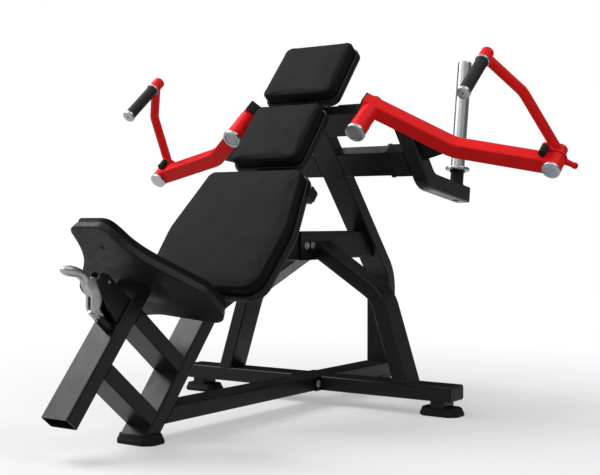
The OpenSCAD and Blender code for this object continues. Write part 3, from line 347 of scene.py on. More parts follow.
def lathe(bm, profile, place, segments=48, closed=True):
    """Turn a profile of radius and height about the place's Z; a zero radius closes to a point."""
    rings = []
    for radius, height in profile:
        if radius < 1e-6:
            rings.append([bm.verts.new(place @ Vector((0, 0, height)))])
            continue
        angles = [2 * math.pi * k / segments for k in range(segments)]
        points = [(radius * math.cos(a), radius * math.sin(a), height) for a in angles]
        rings.append(ring_of(bm, points, place))
    for below, above in zip(rings, rings[1:]):
        for i in range(segments):
            j = (i + 1) % segments
            if len(below) == 1:
                bm.faces.new((below[0], above[j], above[i]))
            elif len(above) == 1:
                bm.faces.new((below[i], below[j], above[0]))
            else:
                bm.faces.new((below[i], below[j], above[j], above[i]))
    if closed:
        for end in (rings[0], rings[-1]):
            if len(end) > 1:
                bm.faces.new(end)


def rounded(width, depth, radius, steps=5):
    """Points of a rectangle with round corners, about its middle."""
    points = []
    for quarter, (sx, sy) in enumerate(((1, 1), (-1, 1), (-1, -1), (1, -1))):
        for k in range(steps + 1):
            a = math.radians(90 * (quarter + k / steps))
            points.append((sx * (width / 2 - radius) + radius * math.cos(a),
                           sy * (depth / 2 - radius) + radius * math.sin(a)))
    return points


def loft(bm, layers, place, cap_first=True, cap_last=True):
    """Skin over stacked outlines, each a list of points and a height."""
    rings = [ring_of(bm, [(x, y, z) for x, y in points], place) for points, z in layers]
    skin(bm, rings, cap_first, cap_last)


def round_outline(corners, inset, steps):
    """Outline with rounded corners drawn in by a distance; a negative radius is a hollow."""
    points = []
    for i, (at, radius) in enumerate(corners):
        at = Vector(at)
        before = Vector(corners[i - 1][0])
        after = Vector(corners[(i + 1) % len(corners)][0])
        u, v = (at - before).normalized(), (after - at).normalized()
        turn = math.atan2(u.x * v.y - u.y * v.x, u.dot(v))
        side = 1 if turn > 0 else -1
        size = abs(radius)
        centre = at - u * size * math.tan(abs(turn) / 2) + Vector((-u.y, u.x)) * size * side
        first = math.atan2(u.y, u.x) - math.pi / 2 * side
        reach = size - side * inset
        for k in range(steps + 1):
            a = first + turn * k / steps
            points.append((centre.x + reach * math.cos(a), centre.y + reach * math.sin(a)))
    return points


def fine_outline(corners, inset, steps, pitch=8):
    """Rounded outline with its straight stretches divided, in the same way for every inset."""
    plain, drawn = round_outline(corners, 0, steps), round_outline(corners, inset, steps)
    points = []
    for i, at in enumerate(drawn):
        j = (i + 1) % len(drawn)
        parts = max(1, math.ceil(math.dist(plain[i], plain[j]) / pitch))
        points += [tuple(Vector(at).lerp(Vector(drawn[j]), k / parts)) for k in range(parts)]
    return points


def open_runs(flags):
    """Stretches of a closed row in which every flag is set, as lists of places in the row."""
    if all(flags):
        return [list(range(len(flags))) + [0]]
    first = flags.index(False)
    runs = [[]]
    for k in range(1, len(flags) + 1):
        at = (first + k) % len(flags)
        if flags[at]:
            runs[-1].append(at)
        elif runs[-1]:
            runs.append([])
    return [run for run in runs if len(run) > 1]


def cut_corners(width, depth, cut, radius):
    """Corners of a rectangle with its corners cut off."""
    x, y = width / 2, depth / 2
    spots = ((cut - x, -y), (x - cut, -y), (x, cut - y), (x, y - cut),
             (x - cut, y), (cut - x, y), (-x, y - cut), (-x, cut - y))
    return [(spot, radius) for spot in spots]


def tube(bm, path, radius, sides=8, closed=False):
    """Round bead along a path of points in metres."""
    path = [Vector(p) for p in path]
    count = len(path)
    rings = []
    normal = None
    for i, at in enumerate(path):
        ahead = path[(i + 1) % count] if closed or i + 1 < count else at
        behind = path[i - 1] if closed or i else at
        along = (ahead - behind).normalized()
        if normal is None:
            normal = along.orthogonal().normalized()
        normal = (normal - along * normal.dot(along)).normalized()
        other = along.cross(normal)
        rings.append([bm.verts.new(at + radius * (math.cos(a) * normal + math.sin(a) * other))
                      for a in (2 * math.pi * k / sides for k in range(sides))])
    if closed:
        skin(bm, rings + rings[:1], False, False)
    else:
        skin(bm, rings)


def dress(nodes, slot):
    """Give CAD nodes their finish and smooth shading."""
    for name in nodes:
        node = frame["nodes"][name]
        node.data.materials.clear()
        node.data.materials.append(finish(slot))
        smooth(node.data)


# Places and thicknesses of the pads in their frames, in millimetres
PAD_BACK = 1096
BOARD = 10
CUSHION = 44
SEAT_CUSHION = 40
SEAT_BOTTOM = -550
SEAT_BLOCK = 1363
SEAT_NOSE = (1535, 1623)
PAD_CORNER = 32
# Half width that the spine takes from a tray's rim, and the stretch that a bar takes
SPINE_SLOT = 52
BAR_SLOT = (414, 458)
# Stretch from its edge over which a pad's face rises to the crown
CROWN_REACH = 110
# Height up to which a cover is held to its board, and the seam's place below the face's edge
HELD_HEIGHT = 6
SEAM_DROP = 11
CORNER_STEPS = 8
CLOTH_FRAMES = 20


def block(bottom, top, size):
    """Outline of a back pad: corner points, each with its radius."""
    half, high = bottom / 2, top / 2
    spots = ((-half, 0), (half, 0), (high, size), (-high, size))
    return [(spot, PAD_CORNER) for spot in spots]


LOWER_PAD = [((-226, 0), 60), ((226, 0), 60), ((240, 240), 200), ((191, 489), PAD_CORNER),
             ((-191, 489), PAD_CORNER), ((-240, 240), 200)]
UPPER_PAD = block(284, 276, 263)
HEAD_PAD = block(296, 290, 257)
SEAT_PAD = [((0, 1225), -160), ((243, 1189), 55), ((243, 1335), 50), ((88, 1500), -250), ((62, 1623), 34),
            ((-62, 1623), 34), ((-88, 1500), -250), ((-243, 1335), 50), ((-243, 1189), 55)]


def on_bench(along, out):
    """Frame of a back pad: its start up the bench, and its height over the bench's zero."""
    return BENCH @ Matrix.Translation((0, along, out))


def on_seat(up):
    """Frame of the seat pad at a height up the bench."""
    return SEAT @ Matrix.Translation((0, 0, up))


PADS = {
    "lower_back_pad": (LOWER_PAD, on_bench(-391, PAD_BACK + BOARD), CUSHION, "frame"),
    "upper_back_pad": (UPPER_PAD, on_bench(138, PAD_BACK + BOARD), CUSHION, "frame"),
    "head_pad": (HEAD_PAD, on_bench(441, PAD_BACK + BOARD), CUSHION, "frame"),
    "seat_pad": (SEAT_PAD, on_seat(SEAT_BOTTOM + BOARD), SEAT_CUSHION, "seat"),
}


def pad_shell(node, corners, place, thick, sizes):
    """Closed cover of a pad, drawn a little small: tucked foot, side, rolled edge and crowned face."""
    named = (sizes.pad_mesh, sizes.pad_shrink, sizes.pad_roll, sizes.pad_crown)
    mesh_size, shrink, roll, crown = (1000 * v for v in named)
    high = thick - shrink
    side = [(6, 0.5), (4.6, 2.5), (3.2, 6), (2, 11), (1, 17), (0.3, 24), (0, high - roll)]
    for a in (math.radians(d) for d in (18, 36, 54, 72, 90)):
        side.append((roll * (1 - math.cos(a)), high - roll * (1 - math.sin(a))))
    bm = bmesh.new()
    rows = [fine_outline(corners, inset + shrink, CORNER_STEPS, mesh_size) for inset, z in side]
    rings = [ring_of(bm, [(x, y, z) for x, y in row], place) for row, (inset, z) in zip(rows, side)]
    skin(bm, rings, False, False)
    fill_face(bm, rings[0], rows[0], place, side[0][1], 0, 3 * mesh_size)
    fill_face(bm, rings[-1], rows[-1], place, high, crown, mesh_size)
    if node == "seat_pad":
        droop_nose(bm, place, *SEAT_NOSE, sizes.nose_drop)
    bmesh.ops.recalc_face_normals(bm, faces=bm.faces)
    mesh = bpy.data.meshes.new(node + "_cover")
    bm.to_mesh(mesh)
    bm.free()
    shell = bpy.data.objects.new(node + "_cover", mesh)
    bpy.context.scene.collection.objects.link(shell)
    return shell


def droop_nose(bm, place, first, last, share):
    """Let the seat's front fall away over its last stretch."""
    lift = place.inverted()
    for vert in bm.verts:
        spot = lift @ vert.co
        spot.z *= 1 - share * max(0, (spot.y - first) / (last - first)) ** 2
        vert.co = place @ spot


def fill_face(bm, rim, edge, place, high, crown, pitch):
    """Close a pad's face with an even net that rises to a crown."""
    near = KDTree(len(edge))
    for i, (x, y) in enumerate(edge):
        near.insert((x, y, 0), i)
    near.balance()
    xs, ys = [x for x, y in edge], [y for x, y in edge]
    inner = []
    for j in range(int((max(ys) - min(ys)) / pitch) + 1):
        for i in range(int((max(xs) - min(xs)) / pitch) + 2):
            spot = Vector((min(xs) + (i - 0.5 * (j % 2)) * pitch, min(ys) + j * pitch, 0))
            if near.find(spot)[2] > 0.6 * pitch:
                inner.append(spot)
    loop = [(i, (i + 1) % len(edge)) for i in range(len(edge))]
    spots = [Vector(p) for p in edge] + [p.to_2d() for p in inner]
    flat, _, faces, origin, _, _ = delaunay_2d_cdt(spots, loop, [], 1, 1e-4)
    made = {}
    for face in faces:
        for v in face:
            first = min(origin[v])
            if first < len(rim):
                made[v] = rim[first]
            elif v not in made:
                away = near.find((*flat[v], 0))[2]
                rise = crown * (1 - (1 - min(1, away / CROWN_REACH)) ** 2)
                made[v] = bm.verts.new(place @ Vector((*flat[v], high + rise)))
        bm.faces.new([made[v] for v in face])


def settled(piece_object):
    """Mesh of an object with its modifiers applied."""
    graph = bpy.context.evaluated_depsgraph_get()
    made = bpy.data.meshes.new_from_object(piece_object.evaluated_get(graph))
    piece_object.modifiers.clear()
    old = piece_object.data
    piece_object.data = made
    bpy.data.meshes.remove(old)
    return made


def stuff(shell, place, sizes):
    """Blow the cover up from inside with cloth, held at the board, and cap how far it swells."""
    lift = place.inverted()
    held = shell.vertex_groups.new(name="board_side")
    held.add([v.index for v in shell.data.vertices if (lift @ v.co).z < HELD_HEIGHT], 1.0, "REPLACE")
    start = [v.co.copy() for v in shell.data.vertices]
    cloth = shell.modifiers.new("Stuffing", "CLOTH")
    cover = cloth.settings
    cover.quality = 5
    cover.mass = 0.3
    cover.tension_stiffness = cover.compression_stiffness = 15
    cover.bending_stiffness = 2
    cover.use_pressure = True
    cover.uniform_pressure_force = 4
    cover.effector_weights.gravity = 0
    cover.vertex_group_mass = held.name
    cloth.point_cache.frame_start = 1
    cloth.point_cache.frame_end = CLOTH_FRAMES
    scene = bpy.context.scene
    for step in range(1, CLOTH_FRAMES + 1):
        scene.frame_set(step)
    mesh = settled(shell)
    scene.frame_set(1)
    for vert, before in zip(mesh.vertices, start):
        swell = vert.co - before
        if swell.length > sizes.pad_swell:
            vert.co = before + swell.normalized() * sizes.pad_swell
    shell.vertex_groups.clear()


def seam_path(shell, place, corners, inset, height, steps):
    """Path on a pad's skin nearest to a ring drawn at a height."""
    graph = bpy.context.evaluated_depsgraph_get()
    tree = BVHTree.FromObject(shell, graph)
    return [tree.find_nearest(place @ Vector((x, y, height)))[0]
            for x, y in round_outline(corners, inset, steps)]


class MachineOperator(bpy.types.Operator):
    """Base of the machine's makers."""
    bl_options = {"REGISTER", "UNDO"}


class MACHINE_OT_pads(MachineOperator):
    """Stuff and cover the three back pads and the seat"""
    bl_idname = "machine.pads"
    bl_label = "Pads"

    def execute(self, context):
        sizes = context.scene.machine_sizes
        for node, (corners, place, thick, body) in PADS.items():
            shell = pad_shell(node, corners, place, thick, sizes)
            stuff(shell, place, sizes)
            fine = shell.modifiers.new("Fine", "SUBSURF")
            fine.levels = fine.render_levels = 1
            mesh = settled(shell)
            smooth(mesh, 60)
            mesh.materials.clear()
            mesh.materials.append(finish("vinyl"))
            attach(shell, body)
            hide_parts(node)
            bm = bmesh.new()
            path = seam_path(shell, place, corners, 1, thick - SEAM_DROP, 10)
            tube(bm, path, sizes.seam_radius, closed=True)
            piece(node + "_seam", bm, body, "vinyl", angle=60)
        return {"FINISHED"}


class MACHINE_OT_pad_backs(MachineOperator):
    """Moulded trays that hold the pads, with a rim behind each back pad and a smooth seat shell"""
    bl_idname = "machine.pad_backs"
    bl_label = "Pad trays"

    # Distance in from the pad's outline, and height over the tray's floor
    tray = ((8, 0.2), (0, 0.2), (-2, 2), (-2.2, 8), (-1.4, 11.4), (0.4, 13), (3, 12.8), (6, 10.5))
    rim = ((0, 0.4), (-2, 0.4), (-2.2, -8), (-1.2, -13), (1, -15.4), (3.4, -16), (5.4, -15), (6, -11),
           (6, 0.4))
    shell = ((24, 0), (10, 0), (2, 0.2), (-2.6, 1.2), (-3.6, 2.6), (-3.2, 5), (0.8, 21.4), (2, 23.8),
             (4.4, 24.6), (7, 21))
    # Width, depth, corner radius and height of the swelling round the seat's block
    mound = ((226, 168, 60, 0.4), (200, 146, 54, -1), (176, 122, 46, -3), (156, 102, 36, -5),
             (140, 86, 26, -6.2), (126, 74, 16, -6.6))
    # Radius and height of a screw plug, and the plugs' places
    plug = ((7.4, 0.4), (7.4, -0.7), (6.4, -1.3), (5.6, -0.9), (5.2, -0.2), (4.6, -0.9), (2.6, -1.6),
            (0, -1.8))
    plugs = ((0, 1536), (113, 1288), (-113, 1288))

    def execute(self, context):
        for node, (corners, place, _, body) in PADS.items():
            bm = bmesh.new()
            floor = place @ Matrix.Translation((0, 0, -BOARD))
            side = self.shell if body == "seat" else self.tray
            loft(bm, [(round_outline(corners, inset, CORNER_STEPS), z) for inset, z in side], floor)
            if body == "seat":
                loft(bm, [(rounded(w, d, r, CORNER_STEPS), z) for w, d, r, z in self.mound],
                     floor @ Matrix.Translation((0, SEAT_BLOCK, 0)))
                for x, y in self.plugs:
                    lathe(bm, self.plug, floor @ Matrix.Translation((x, y, 0)), 28)
            else:
                self.add_rim(bm, corners, floor, BAR_SLOT if node == "lower_back_pad" else (0, 0))
            piece(node + "_back", bm, body, "black_plastic",
                  ("seat_board",) if body == "seat" else ("pad_boards",), 40)
        return {"FINISHED"}

    def add_rim(self, bm, corners, place, bar):
        """Rim behind a tray, left open where the spine and a bar pass."""
        plain = fine_outline(corners, 0, CORNER_STEPS)
        rows = [fine_outline(corners, inset, CORNER_STEPS) for inset, z in self.rim]
        free = [abs(x) > SPINE_SLOT and not bar[0] < y < bar[1] for x, y in plain]
        for run in open_runs(free):
            cuts = [[(*row[i], z) for row, (inset, z) in zip(rows, self.rim)] for i in run]
            skin(bm, [ring_of(bm, cut, place) for cut in cuts])


# Base frame in millimetres: places along the machine, then across it and up
REAR = REAR_FOOT.y * 1000
FRONT_FOOT = REAR - 1374.6
CROSS_BEAM = REAR - 464
SIDE_FOOT = 504
CROSS_END = 554
BEAM_HEIGHT = 75


class MACHINE_OT_feet(MachineOperator):
    """Rubber feet with cut corners, bevelled shoulders and bolt wells"""
    bl_idname = "machine.feet"
    bl_label = "Feet"

    plan = cut_corners(144, 96, 24, 18)
    tiers = ((2.5, 0), (0.4, 2), (0, 5), (1.2, 11), (2.2, 13.4), (3.4, 14.4), (4.4, 16), (6.6, 22.4),
             (8.2, 26), (10.4, 27.7), (14, 28))
    well = ((9, 27.6), (9, 28.8), (8, 29.5), (6.4, 29.4), (5.8, 28.8), (5.6, 28.2), (0, 28.1))
    well_reach = 44
    # Places across and along, and whether the bolt wells show
    feet = ((0, REAR, True), (0, FRONT_FOOT, False), (SIDE_FOOT, CROSS_BEAM, True),
            (-SIDE_FOOT, CROSS_BEAM, True))

    def execute(self, context):
        bm = bmesh.new()
        for x, y, wells in self.feet:
            place = UPRIGHT @ Matrix.Translation((x, y, 0))
            loft(bm, [(round_outline(self.plan, inset, 4), z) for inset, z in self.tiers], place)
            for side in SIDES.values() if wells else ():
                lathe(bm, self.well, place @ Matrix.Translation((self.well_reach * side, 0, 0)), 24)
        piece("rubber_feet", bm, "frame", "rubber", ("foot_pads",), 40)
        return {"FINISHED"}


class MACHINE_OT_end_caps(MachineOperator):
    """Domed plastic caps in the tube ends"""
    bl_idname = "machine.end_caps"
    bl_label = "End caps"

    dome = ((100, 50, 6, 0), (100, 50, 6, 0.8), (98.6, 48.6, 6.6, 2.2), (94, 44, 7, 4.6), (90, 40, 6, 5.8),
            (86, 36, 5, 6))
    rear_end = (0, REAR + 46, BEAM_HEIGHT)
    spine_end = (0, 690, 1071)
    # Across, up the post and forward
    stop_beam_end = (195, 1056, -280.255)

    def execute(self, context):
        bm = bmesh.new()
        turn = Matrix.Rotation(math.radians(90), 4, "X")
        places = [UPRIGHT @ Matrix.Translation(self.rear_end) @ turn.inverted()]
        x, p, forward = self.stop_beam_end
        for side in SIDES.values():
            out = Matrix.Rotation(math.radians(90 * side), 4, "Z")
            cross_end = Matrix.Translation((CROSS_END * side, CROSS_BEAM, BEAM_HEIGHT))
            places.append(UPRIGHT @ cross_end @ out @ turn)
            places.append(POST @ Matrix.Translation((x * side, p, forward)) @ out @ turn)
        places.append(BENCH @ Matrix.Translation(self.spine_end) @ turn.inverted())
        for place in places:
            loft(bm, [(rounded(w, d, r), z) for w, d, r, z in self.dome], place)
        piece("tube_end_caps", bm, "frame", "black_plastic", ("beam_end_caps",), 40)
        return {"FINISHED"}


class MACHINE_OT_bolts(MachineOperator):
    """Hex bolts with washers on the flanges"""
    bl_idname = "machine.bolts"
    bl_label = "Flange bolts"

    washer = ((12.6, 0), (12.6, 1.6), (12, 2.1), (9, 2.1))
    head = ((10.2, 2.1), (10.2, 6.2), (9.2, 7), (7, 7.3), (0, 7.5))
    # Right-hand bolts: across, along and up
    leg_bolts = ((33, REAR - 526.2, 555), (33, REAR - 565.6, 555))
    beam_bolts = ((58, CROSS_BEAM - 65, BEAM_HEIGHT), (58, CROSS_BEAM + 65, BEAM_HEIGHT))

    def execute(self, context):
        bm = bmesh.new()
        for x, y, z in self.leg_bolts + self.beam_bolts:
            for side in SIDES.values():
                outward = Matrix.Rotation(math.radians(90 * side), 4, "Y")
                place = UPRIGHT @ Matrix.Translation((x * side, y, z)) @ outward
                lathe(bm, self.washer, place, 32)
                lathe(bm, self.head, place, 6)
        piece("flange_bolts", bm, "frame", "steel", ("frame_bolts",), 30)
        return {"FINISHED"}


def post_place(side, x, p, t):
    """Place on a pivot axis: Z runs forward, out of the front of the machine."""
    return POST @ Matrix.Translation((SIDES[side] * x, p, -t))


def post_spot(joint):
    """Across and up-the-post position of a right-hand hinge."""
    local = POST.inverted() @ Vector(JOINTS[joint]["pos_m"])
    return local.x, local.y


PIVOT = post_spot("right_arm_swing")
ELBOW = post_spot("right_handle_swing")
# Fronts of the pivot hub and the elbow, back along the pivots
HUB_FRONT = 137.255
ELBOW_FRONT = 249.255
# Lengths and directions of a handle tube's two stretches, up to the grip's axis
LINK = ((252, math.radians(103.5)), (167, math.radians(122.5)))
GRIP_AT = (ELBOW[0] + LINK[0][0] * math.cos(LINK[0][1]) + LINK[1][0] * math.cos(LINK[1][1]),
           ELBOW[1] + LINK[0][0] * math.sin(LINK[0][1]) + LINK[1][0] * math.sin(LINK[1][1]))
GRIP_BACK = 309.255
GRIP_LENGTH = 164


class MACHINE_OT_arm_caps(MachineOperator):
    """Chrome covers on the pivots and satin discs on the elbows"""
    bl_idname = "machine.arm_caps"
    bl_label = "Arm caps"

    ring = ((25, 0), (34.2, 0), (35, 0.8), (35, 7.5), (34, 10), (31.6, 11.7), (29, 12), (26.6, 11.6),
            (25.6, 10.4), (25.2, 6))
    face = ((25.3, 4), (25.2, 9.2), (24, 10), (20, 10.8), (12, 11.6), (0, 12))
    disc = ((30, 0), (31, 0.6), (31, 6), (30.2, 7.4), (28.6, 8), (16, 8), (0, 8.1))

    def execute(self, context):
        for side in SIDES:
            body = side + "_arm"
            bm = bmesh.new()
            lathe(bm, self.ring, post_place(side, *PIVOT, HUB_FRONT), 64, False)
            piece("pivot_cover_" + side, bm, body, "chrome", ("arm_caps_" + side,))
            bm = bmesh.new()
            lathe(bm, self.face, post_place(side, *PIVOT, HUB_FRONT), 64)
            piece("pivot_face_" + side, bm, body, "chrome", ("arm_caps_" + side,), look="dull_steel")
            bm = bmesh.new()
            lathe(bm, self.disc, post_place(side, *ELBOW, ELBOW_FRONT), 64)
            piece("elbow_disc_" + side, bm, body, "chrome", ("arm_caps_" + side,), look="steel")
        return {"FINISHED"}


class MACHINE_OT_horns(MachineOperator):
    """Chrome weight horns on black sleeves"""
    bl_idname = "machine.horns"
    bl_label = "Weight horns"

    sleeve = ((25.5, 0), (25.5, 3), (24, 4.5), (24, 43), (26.5, 45), (27.5, 47), (27.5, 51), (26.8, 52),
              (8, 52))
    horn = ((8, 0), (42, 0), (43.5, 1.5), (43.5, 8.5), (42.6, 10.6), (40, 12), (28, 12), (25.6, 13),
            (25, 15), (25, 403), (24.6, 405.5), (23.4, 407.6), (21, 409), (0, 409))
    sleeve_height = 52
    collar_height = 12

    def execute(self, context):
        for side in SIDES:
            mount = MOUNTS[side + "_weight_horn"]
            up = Vector(mount["axis"])
            back = up.cross(ACROSS)
            down = mount["dims"]["length_mm"] / 2 + self.collar_height
            foot = Vector(mount["pos_m"]) - up * down / 1000
            place = frame_of(ACROSS, back, up, foot) @ MM
            bm = bmesh.new()
            lathe(bm, self.horn, place, 64)
            piece("chrome_horn_" + side, bm, side + "_arm", "chrome", ("weight_horn_" + side,))
            bm = bmesh.new()
            lathe(bm, self.sleeve, place @ Matrix.Translation((0, 0, -self.sleeve_height)), 48)
            piece("horn_stand_" + side, bm, side + "_arm", "black_plastic", ("horn_sleeve_" + side,))
        return {"FINISHED"}


class MACHINE_OT_grips(MachineOperator):
    """Ribbed rubber grips between chrome collars"""
    bl_idname = "machine.grips"
    bl_label = "Grips"

    collar = ((13.2, 0), (22, 0), (23.4, 1.4), (23.4, 6.4), (22.2, 8), (13.2, 8))
    cap = ((13.2, 0), (22, 0), (22.4, 0.6), (22.4, 8.4), (21.4, 10.6), (19, 12), (3.8, 12), (3.2, 11.4),
           (3.2, 6))
    hole = ((3.3, 6), (3.3, 9.6), (0, 9.8))
    radius = 20.5
    bore = 13.2
    # Plain band at each end of a grip, with a bead; a collar is as long
    band = 8
    bead = 0.8
    # One rib: share of the depth, and share of the pitch
    rib = ((1, 0.2), (0.3, 0.4), (0.3, 0.75), (1, 0.95))

    def execute(self, context):
        sizes = context.scene.machine_sizes
        pitch, depth = sizes.rib_pitch * 1000, sizes.rib_depth * 1000
        top, bead = self.radius, self.radius + self.bead
        ribs = [(self.bore, 0), (top, 0), (bead, 1), (bead, 6), (top, self.band)]
        for k in range(int((GRIP_LENGTH - 2 * self.band) / pitch)):
            low = self.band + k * pitch
            ribs += [(top - depth * share, low + pitch * at) for share, at in self.rib]
        ribs += [(top, GRIP_LENGTH - self.band), (bead, GRIP_LENGTH - 6), (bead, GRIP_LENGTH - 1),
                 (top, GRIP_LENGTH), (self.bore, GRIP_LENGTH)]
        for side in SIDES:
            body = side + "_handle"
            front = post_place(side, *GRIP_AT, GRIP_BACK - GRIP_LENGTH)
            bm = bmesh.new()
            lathe(bm, ribs, post_place(side, *GRIP_AT, GRIP_BACK), 48, False)
            lathe(bm, self.hole, front, 20)
            piece("ribbed_grip_" + side, bm, body, "rubber", ("grip_" + side,), 50, "grip_rubber")
            bm = bmesh.new()
            lathe(bm, self.collar, post_place(side, *GRIP_AT, GRIP_BACK + self.band), 48, False)
            lathe(bm, self.cap, front, 48, False)
            piece("grip_trim_" + side, bm, body, "chrome", ("grip_collars_" + side,))
        return {"FINISHED"}


class MACHINE_OT_lever(MachineOperator):
    """Cast seat lever with a spoon-shaped paddle and a forked foot"""
    bl_idname = "machine.lever"
    bl_label = "Seat lever"

    # Along the paddle: place up the bench and out of it, width, thickness
    paddle = ((-703, 1634, 8, 6), (-700, 1630, 20, 15), (-695, 1622, 29, 24), (-687, 1609, 35, 29),
              (-679, 1595, 34, 28), (-672, 1581, 30, 25), (-668, 1567, 27, 25), (-668, 1554, 26, 28),
              (-669, 1541, 25.4, 31), (-670, 1530, 24, 27))
    # Corners of the lever's flat body up the bench and out of it, with their radii
    cheek = [((-729, 1471), 7), ((-712, 1459), 7), ((-676, 1471), 16), ((-640, 1471), 14),
             ((-616, 1478), 11), ((-617, 1500), 11), ((-643, 1516), 20), ((-654, 1546), 12),
             ((-684, 1546), 12), ((-694, 1508), 30), ((-718, 1489), 10)]
    core = [((-688, 1469), 4), ((-640, 1473), 14), ((-618, 1479), 10), ((-619, 1499), 10),
            ((-645, 1515), 20), ((-656, 1544), 11), ((-683, 1544), 11), ((-695, 1504), 6)]
    # Distance in from a cheek's outline, and depth from its face
    rolled = ((2.8, 0), (0.8, 0.6), (0, 2), (0, 6), (0.6, 7.4), (2.4, 8))
    # Across the machine: the paddle's middle, the cheeks' faces with their inward sense, the core's faces
    middle = 20
    cheek_faces = ((33, -1), (7, 1))
    core_faces = (14.5, 25.5)
    steps = 5

    def execute(self, context):
        bm = bmesh.new()
        self.sweep(bm, self.paddle, self.middle)
        for face, inward in self.cheek_faces:
            layers = [(round_outline(self.cheek, inset, self.steps), face + inward * x)
                      for inset, x in self.rolled]
            loft(bm, layers, LEVER)
        loft(bm, [(round_outline(self.core, 0, self.steps), x) for x in self.core_faces], LEVER)
        piece("cast_lever", bm, "seat_lever", "chrome", ("seat_lever",), 50, "aluminium")
        return {"FINISHED"}

    def sweep(self, bm, stations, x):
        """Skin over round-cornered sections set square to a path."""
        rings = []
        for i, (s, n, width, thick) in enumerate(stations):
            ahead, behind = stations[min(i + 1, len(stations) - 1)], stations[max(i - 1, 0)]
            along = Vector((0, ahead[0] - behind[0], ahead[1] - behind[1])).normalized()
            across = along.cross(ACROSS)
            corner = min(width, thick) * 0.45
            rings.append(ring_of(bm, [Vector((x + u, s, n)) + across * v
                                      for u, v in rounded(width, thick, corner, 4)], BENCH))
        skin(bm, rings)


class MACHINE_OT_solids(MachineOperator):
    """Finishes of the solids that stay in view"""
    bl_idname = "machine.solids"
    bl_label = "Frame and arm finishes"

    black = ("base_beam", "cross_beams", "foot_posts", "main_spine", "seat_guide_tube", "seat_struts",
             "mid_beam", "rear_post", "legs", "frame_plates", "shoulder_beams", "pivot_plates",
             "stop_beams", "pad_brackets", "lever_bracket", "plunger_housing", "seat_bracket",
             "weight_bracket_right", "weight_bracket_left")
    red = ("arm_right", "arm_left", "handle_link_right", "handle_link_left")
    steel = ("pivot_shafts", "shaft_retainers", "lever_pins", "lock_plunger", "arm_bearings_right",
             "arm_bearings_left", "elbow_shaft_right", "elbow_shaft_left", "horn_bolt_right",
             "horn_bolt_left")
    rubber = ("stop_bumpers", "handle_stop_right", "handle_stop_left")
    plastic = ("guide_bushes", "arm_plugs_right", "arm_plugs_left")

    def execute(self, context):
        dress(self.black, "black_paint")
        dress(self.red, "red_paint")
        dress(self.steel, "steel")
        dress(self.rubber, "rubber")
        dress(self.plastic, "black_plastic")
        dress(("seat_post",), "chrome")
        return {"FINISHED"}


# Stage


def studio_floor(name, rgb):
    """Studio floor that keeps the shadow near the machine but lightens it with painted light, a white glow that is
    38 per cent near the machine and grows to a full glow that fades the floor to white away from it; bounce rays
    see it dimmer.
    """
    made, tree = start_material(name)
    where = add(tree, "TexCoord").outputs["Object"]
    bounce = add(tree, "LightPath").outputs["Is Diffuse Ray"]
    reach = add(tree, "VectorMath", {"Vector": where}, operation="LENGTH").outputs["Value"]
    # Share of painted glow in the floor: 0.38 near the machine, which lightens its shadow, rising to a full white
    # glow far from it
    glow_share = add(tree, "MapRange", {"Value": reach, "From Min": 0.7, "From Max": 2.6, "To Min": 0.38},
               interpolation_type="SMOOTHSTEP")
    # Bounce rays see the floor at 0.4 of its colour and a 0.3 glow, so it throws less light up onto the machine
    shade = add(tree, "Mix", {"Factor": bounce, "A": rgba(rgb), "B": rgba(rgb, 0.4)}, data_type="RGBA")
    glow = add(tree, "MapRange", {"Value": bounce, "To Min": 1.0, "To Max": 0.3})
    matt = add(tree, "BsdfDiffuse", {"Color": shade.outputs["Result"]})
    # The white emission is painted light on the floor, not a lamp
    white = add(tree, "Emission", {"Color": (1, 1, 1, 1), "Strength": glow.outputs["Result"]})
    mixed = add(tree, "MixShader", {"Fac": glow_share.outputs["Result"]})
    tree.links.new(matt.outputs["BSDF"], mixed.inputs[1])
    tree.links.new(white.outputs["Emission"], mixed.inputs[2])
    add(tree, "OutputMaterial", {"Surface": mixed.outputs["Shader"]})
    return made


def dark_card(name, code):
    """Grey card that only reflections see, as a studio's black flag."""
    made, tree = start_material(name)
    grey = add(tree, "Emission", {"Color": rgba(linear(code)), "Strength": 1.0})
    add(tree, "OutputMaterial", {"Surface": grey.outputs["Emission"]})
    return made


def studio_world(scene, strength):
    """White to the camera and in reflections, softer as a light."""
    world = bpy.data.worlds.new("Studio")
    world.use_nodes = True
    tree = world.node_tree
    tree.nodes.clear()
    rays = add(tree, "LightPath")
    seen = rays.outputs["Is Camera Ray"]
    for ray in ("Is Glossy Ray", "Is Transmission Ray"):
        seen = add(tree, "Math", {0: seen, 1: rays.outputs[ray]}, operation="MAXIMUM").outputs[0]
    level = add(tree, "MapRange", {"Value": seen, "To Min": strength, "To Max": 1.0})
    light = add(tree, "Background", {"Color": (1, 1, 1, 1), "Strength": level.outputs["Result"]})
    add(tree, "OutputWorld", {"Surface": light.outputs["Background"]})
    scene.world = world


def soft_box(name, at, aim, width, power):
    """Square lamp in metres and watts, aimed at a point."""
    lamp = bpy.data.lights.new(name, "AREA")
    lamp.shape = "SQUARE"
    lamp.size = width
    lamp.energy = power
    made = bpy.data.objects.new(name, lamp)
    made.location = at
    made.rotation_mode = "QUATERNION"
    made.rotation_quaternion = (Vector(aim) - Vector(at)).to_track_quat("-Z", "Y")
    bpy.context.scene.collection.objects.link(made)
    return made


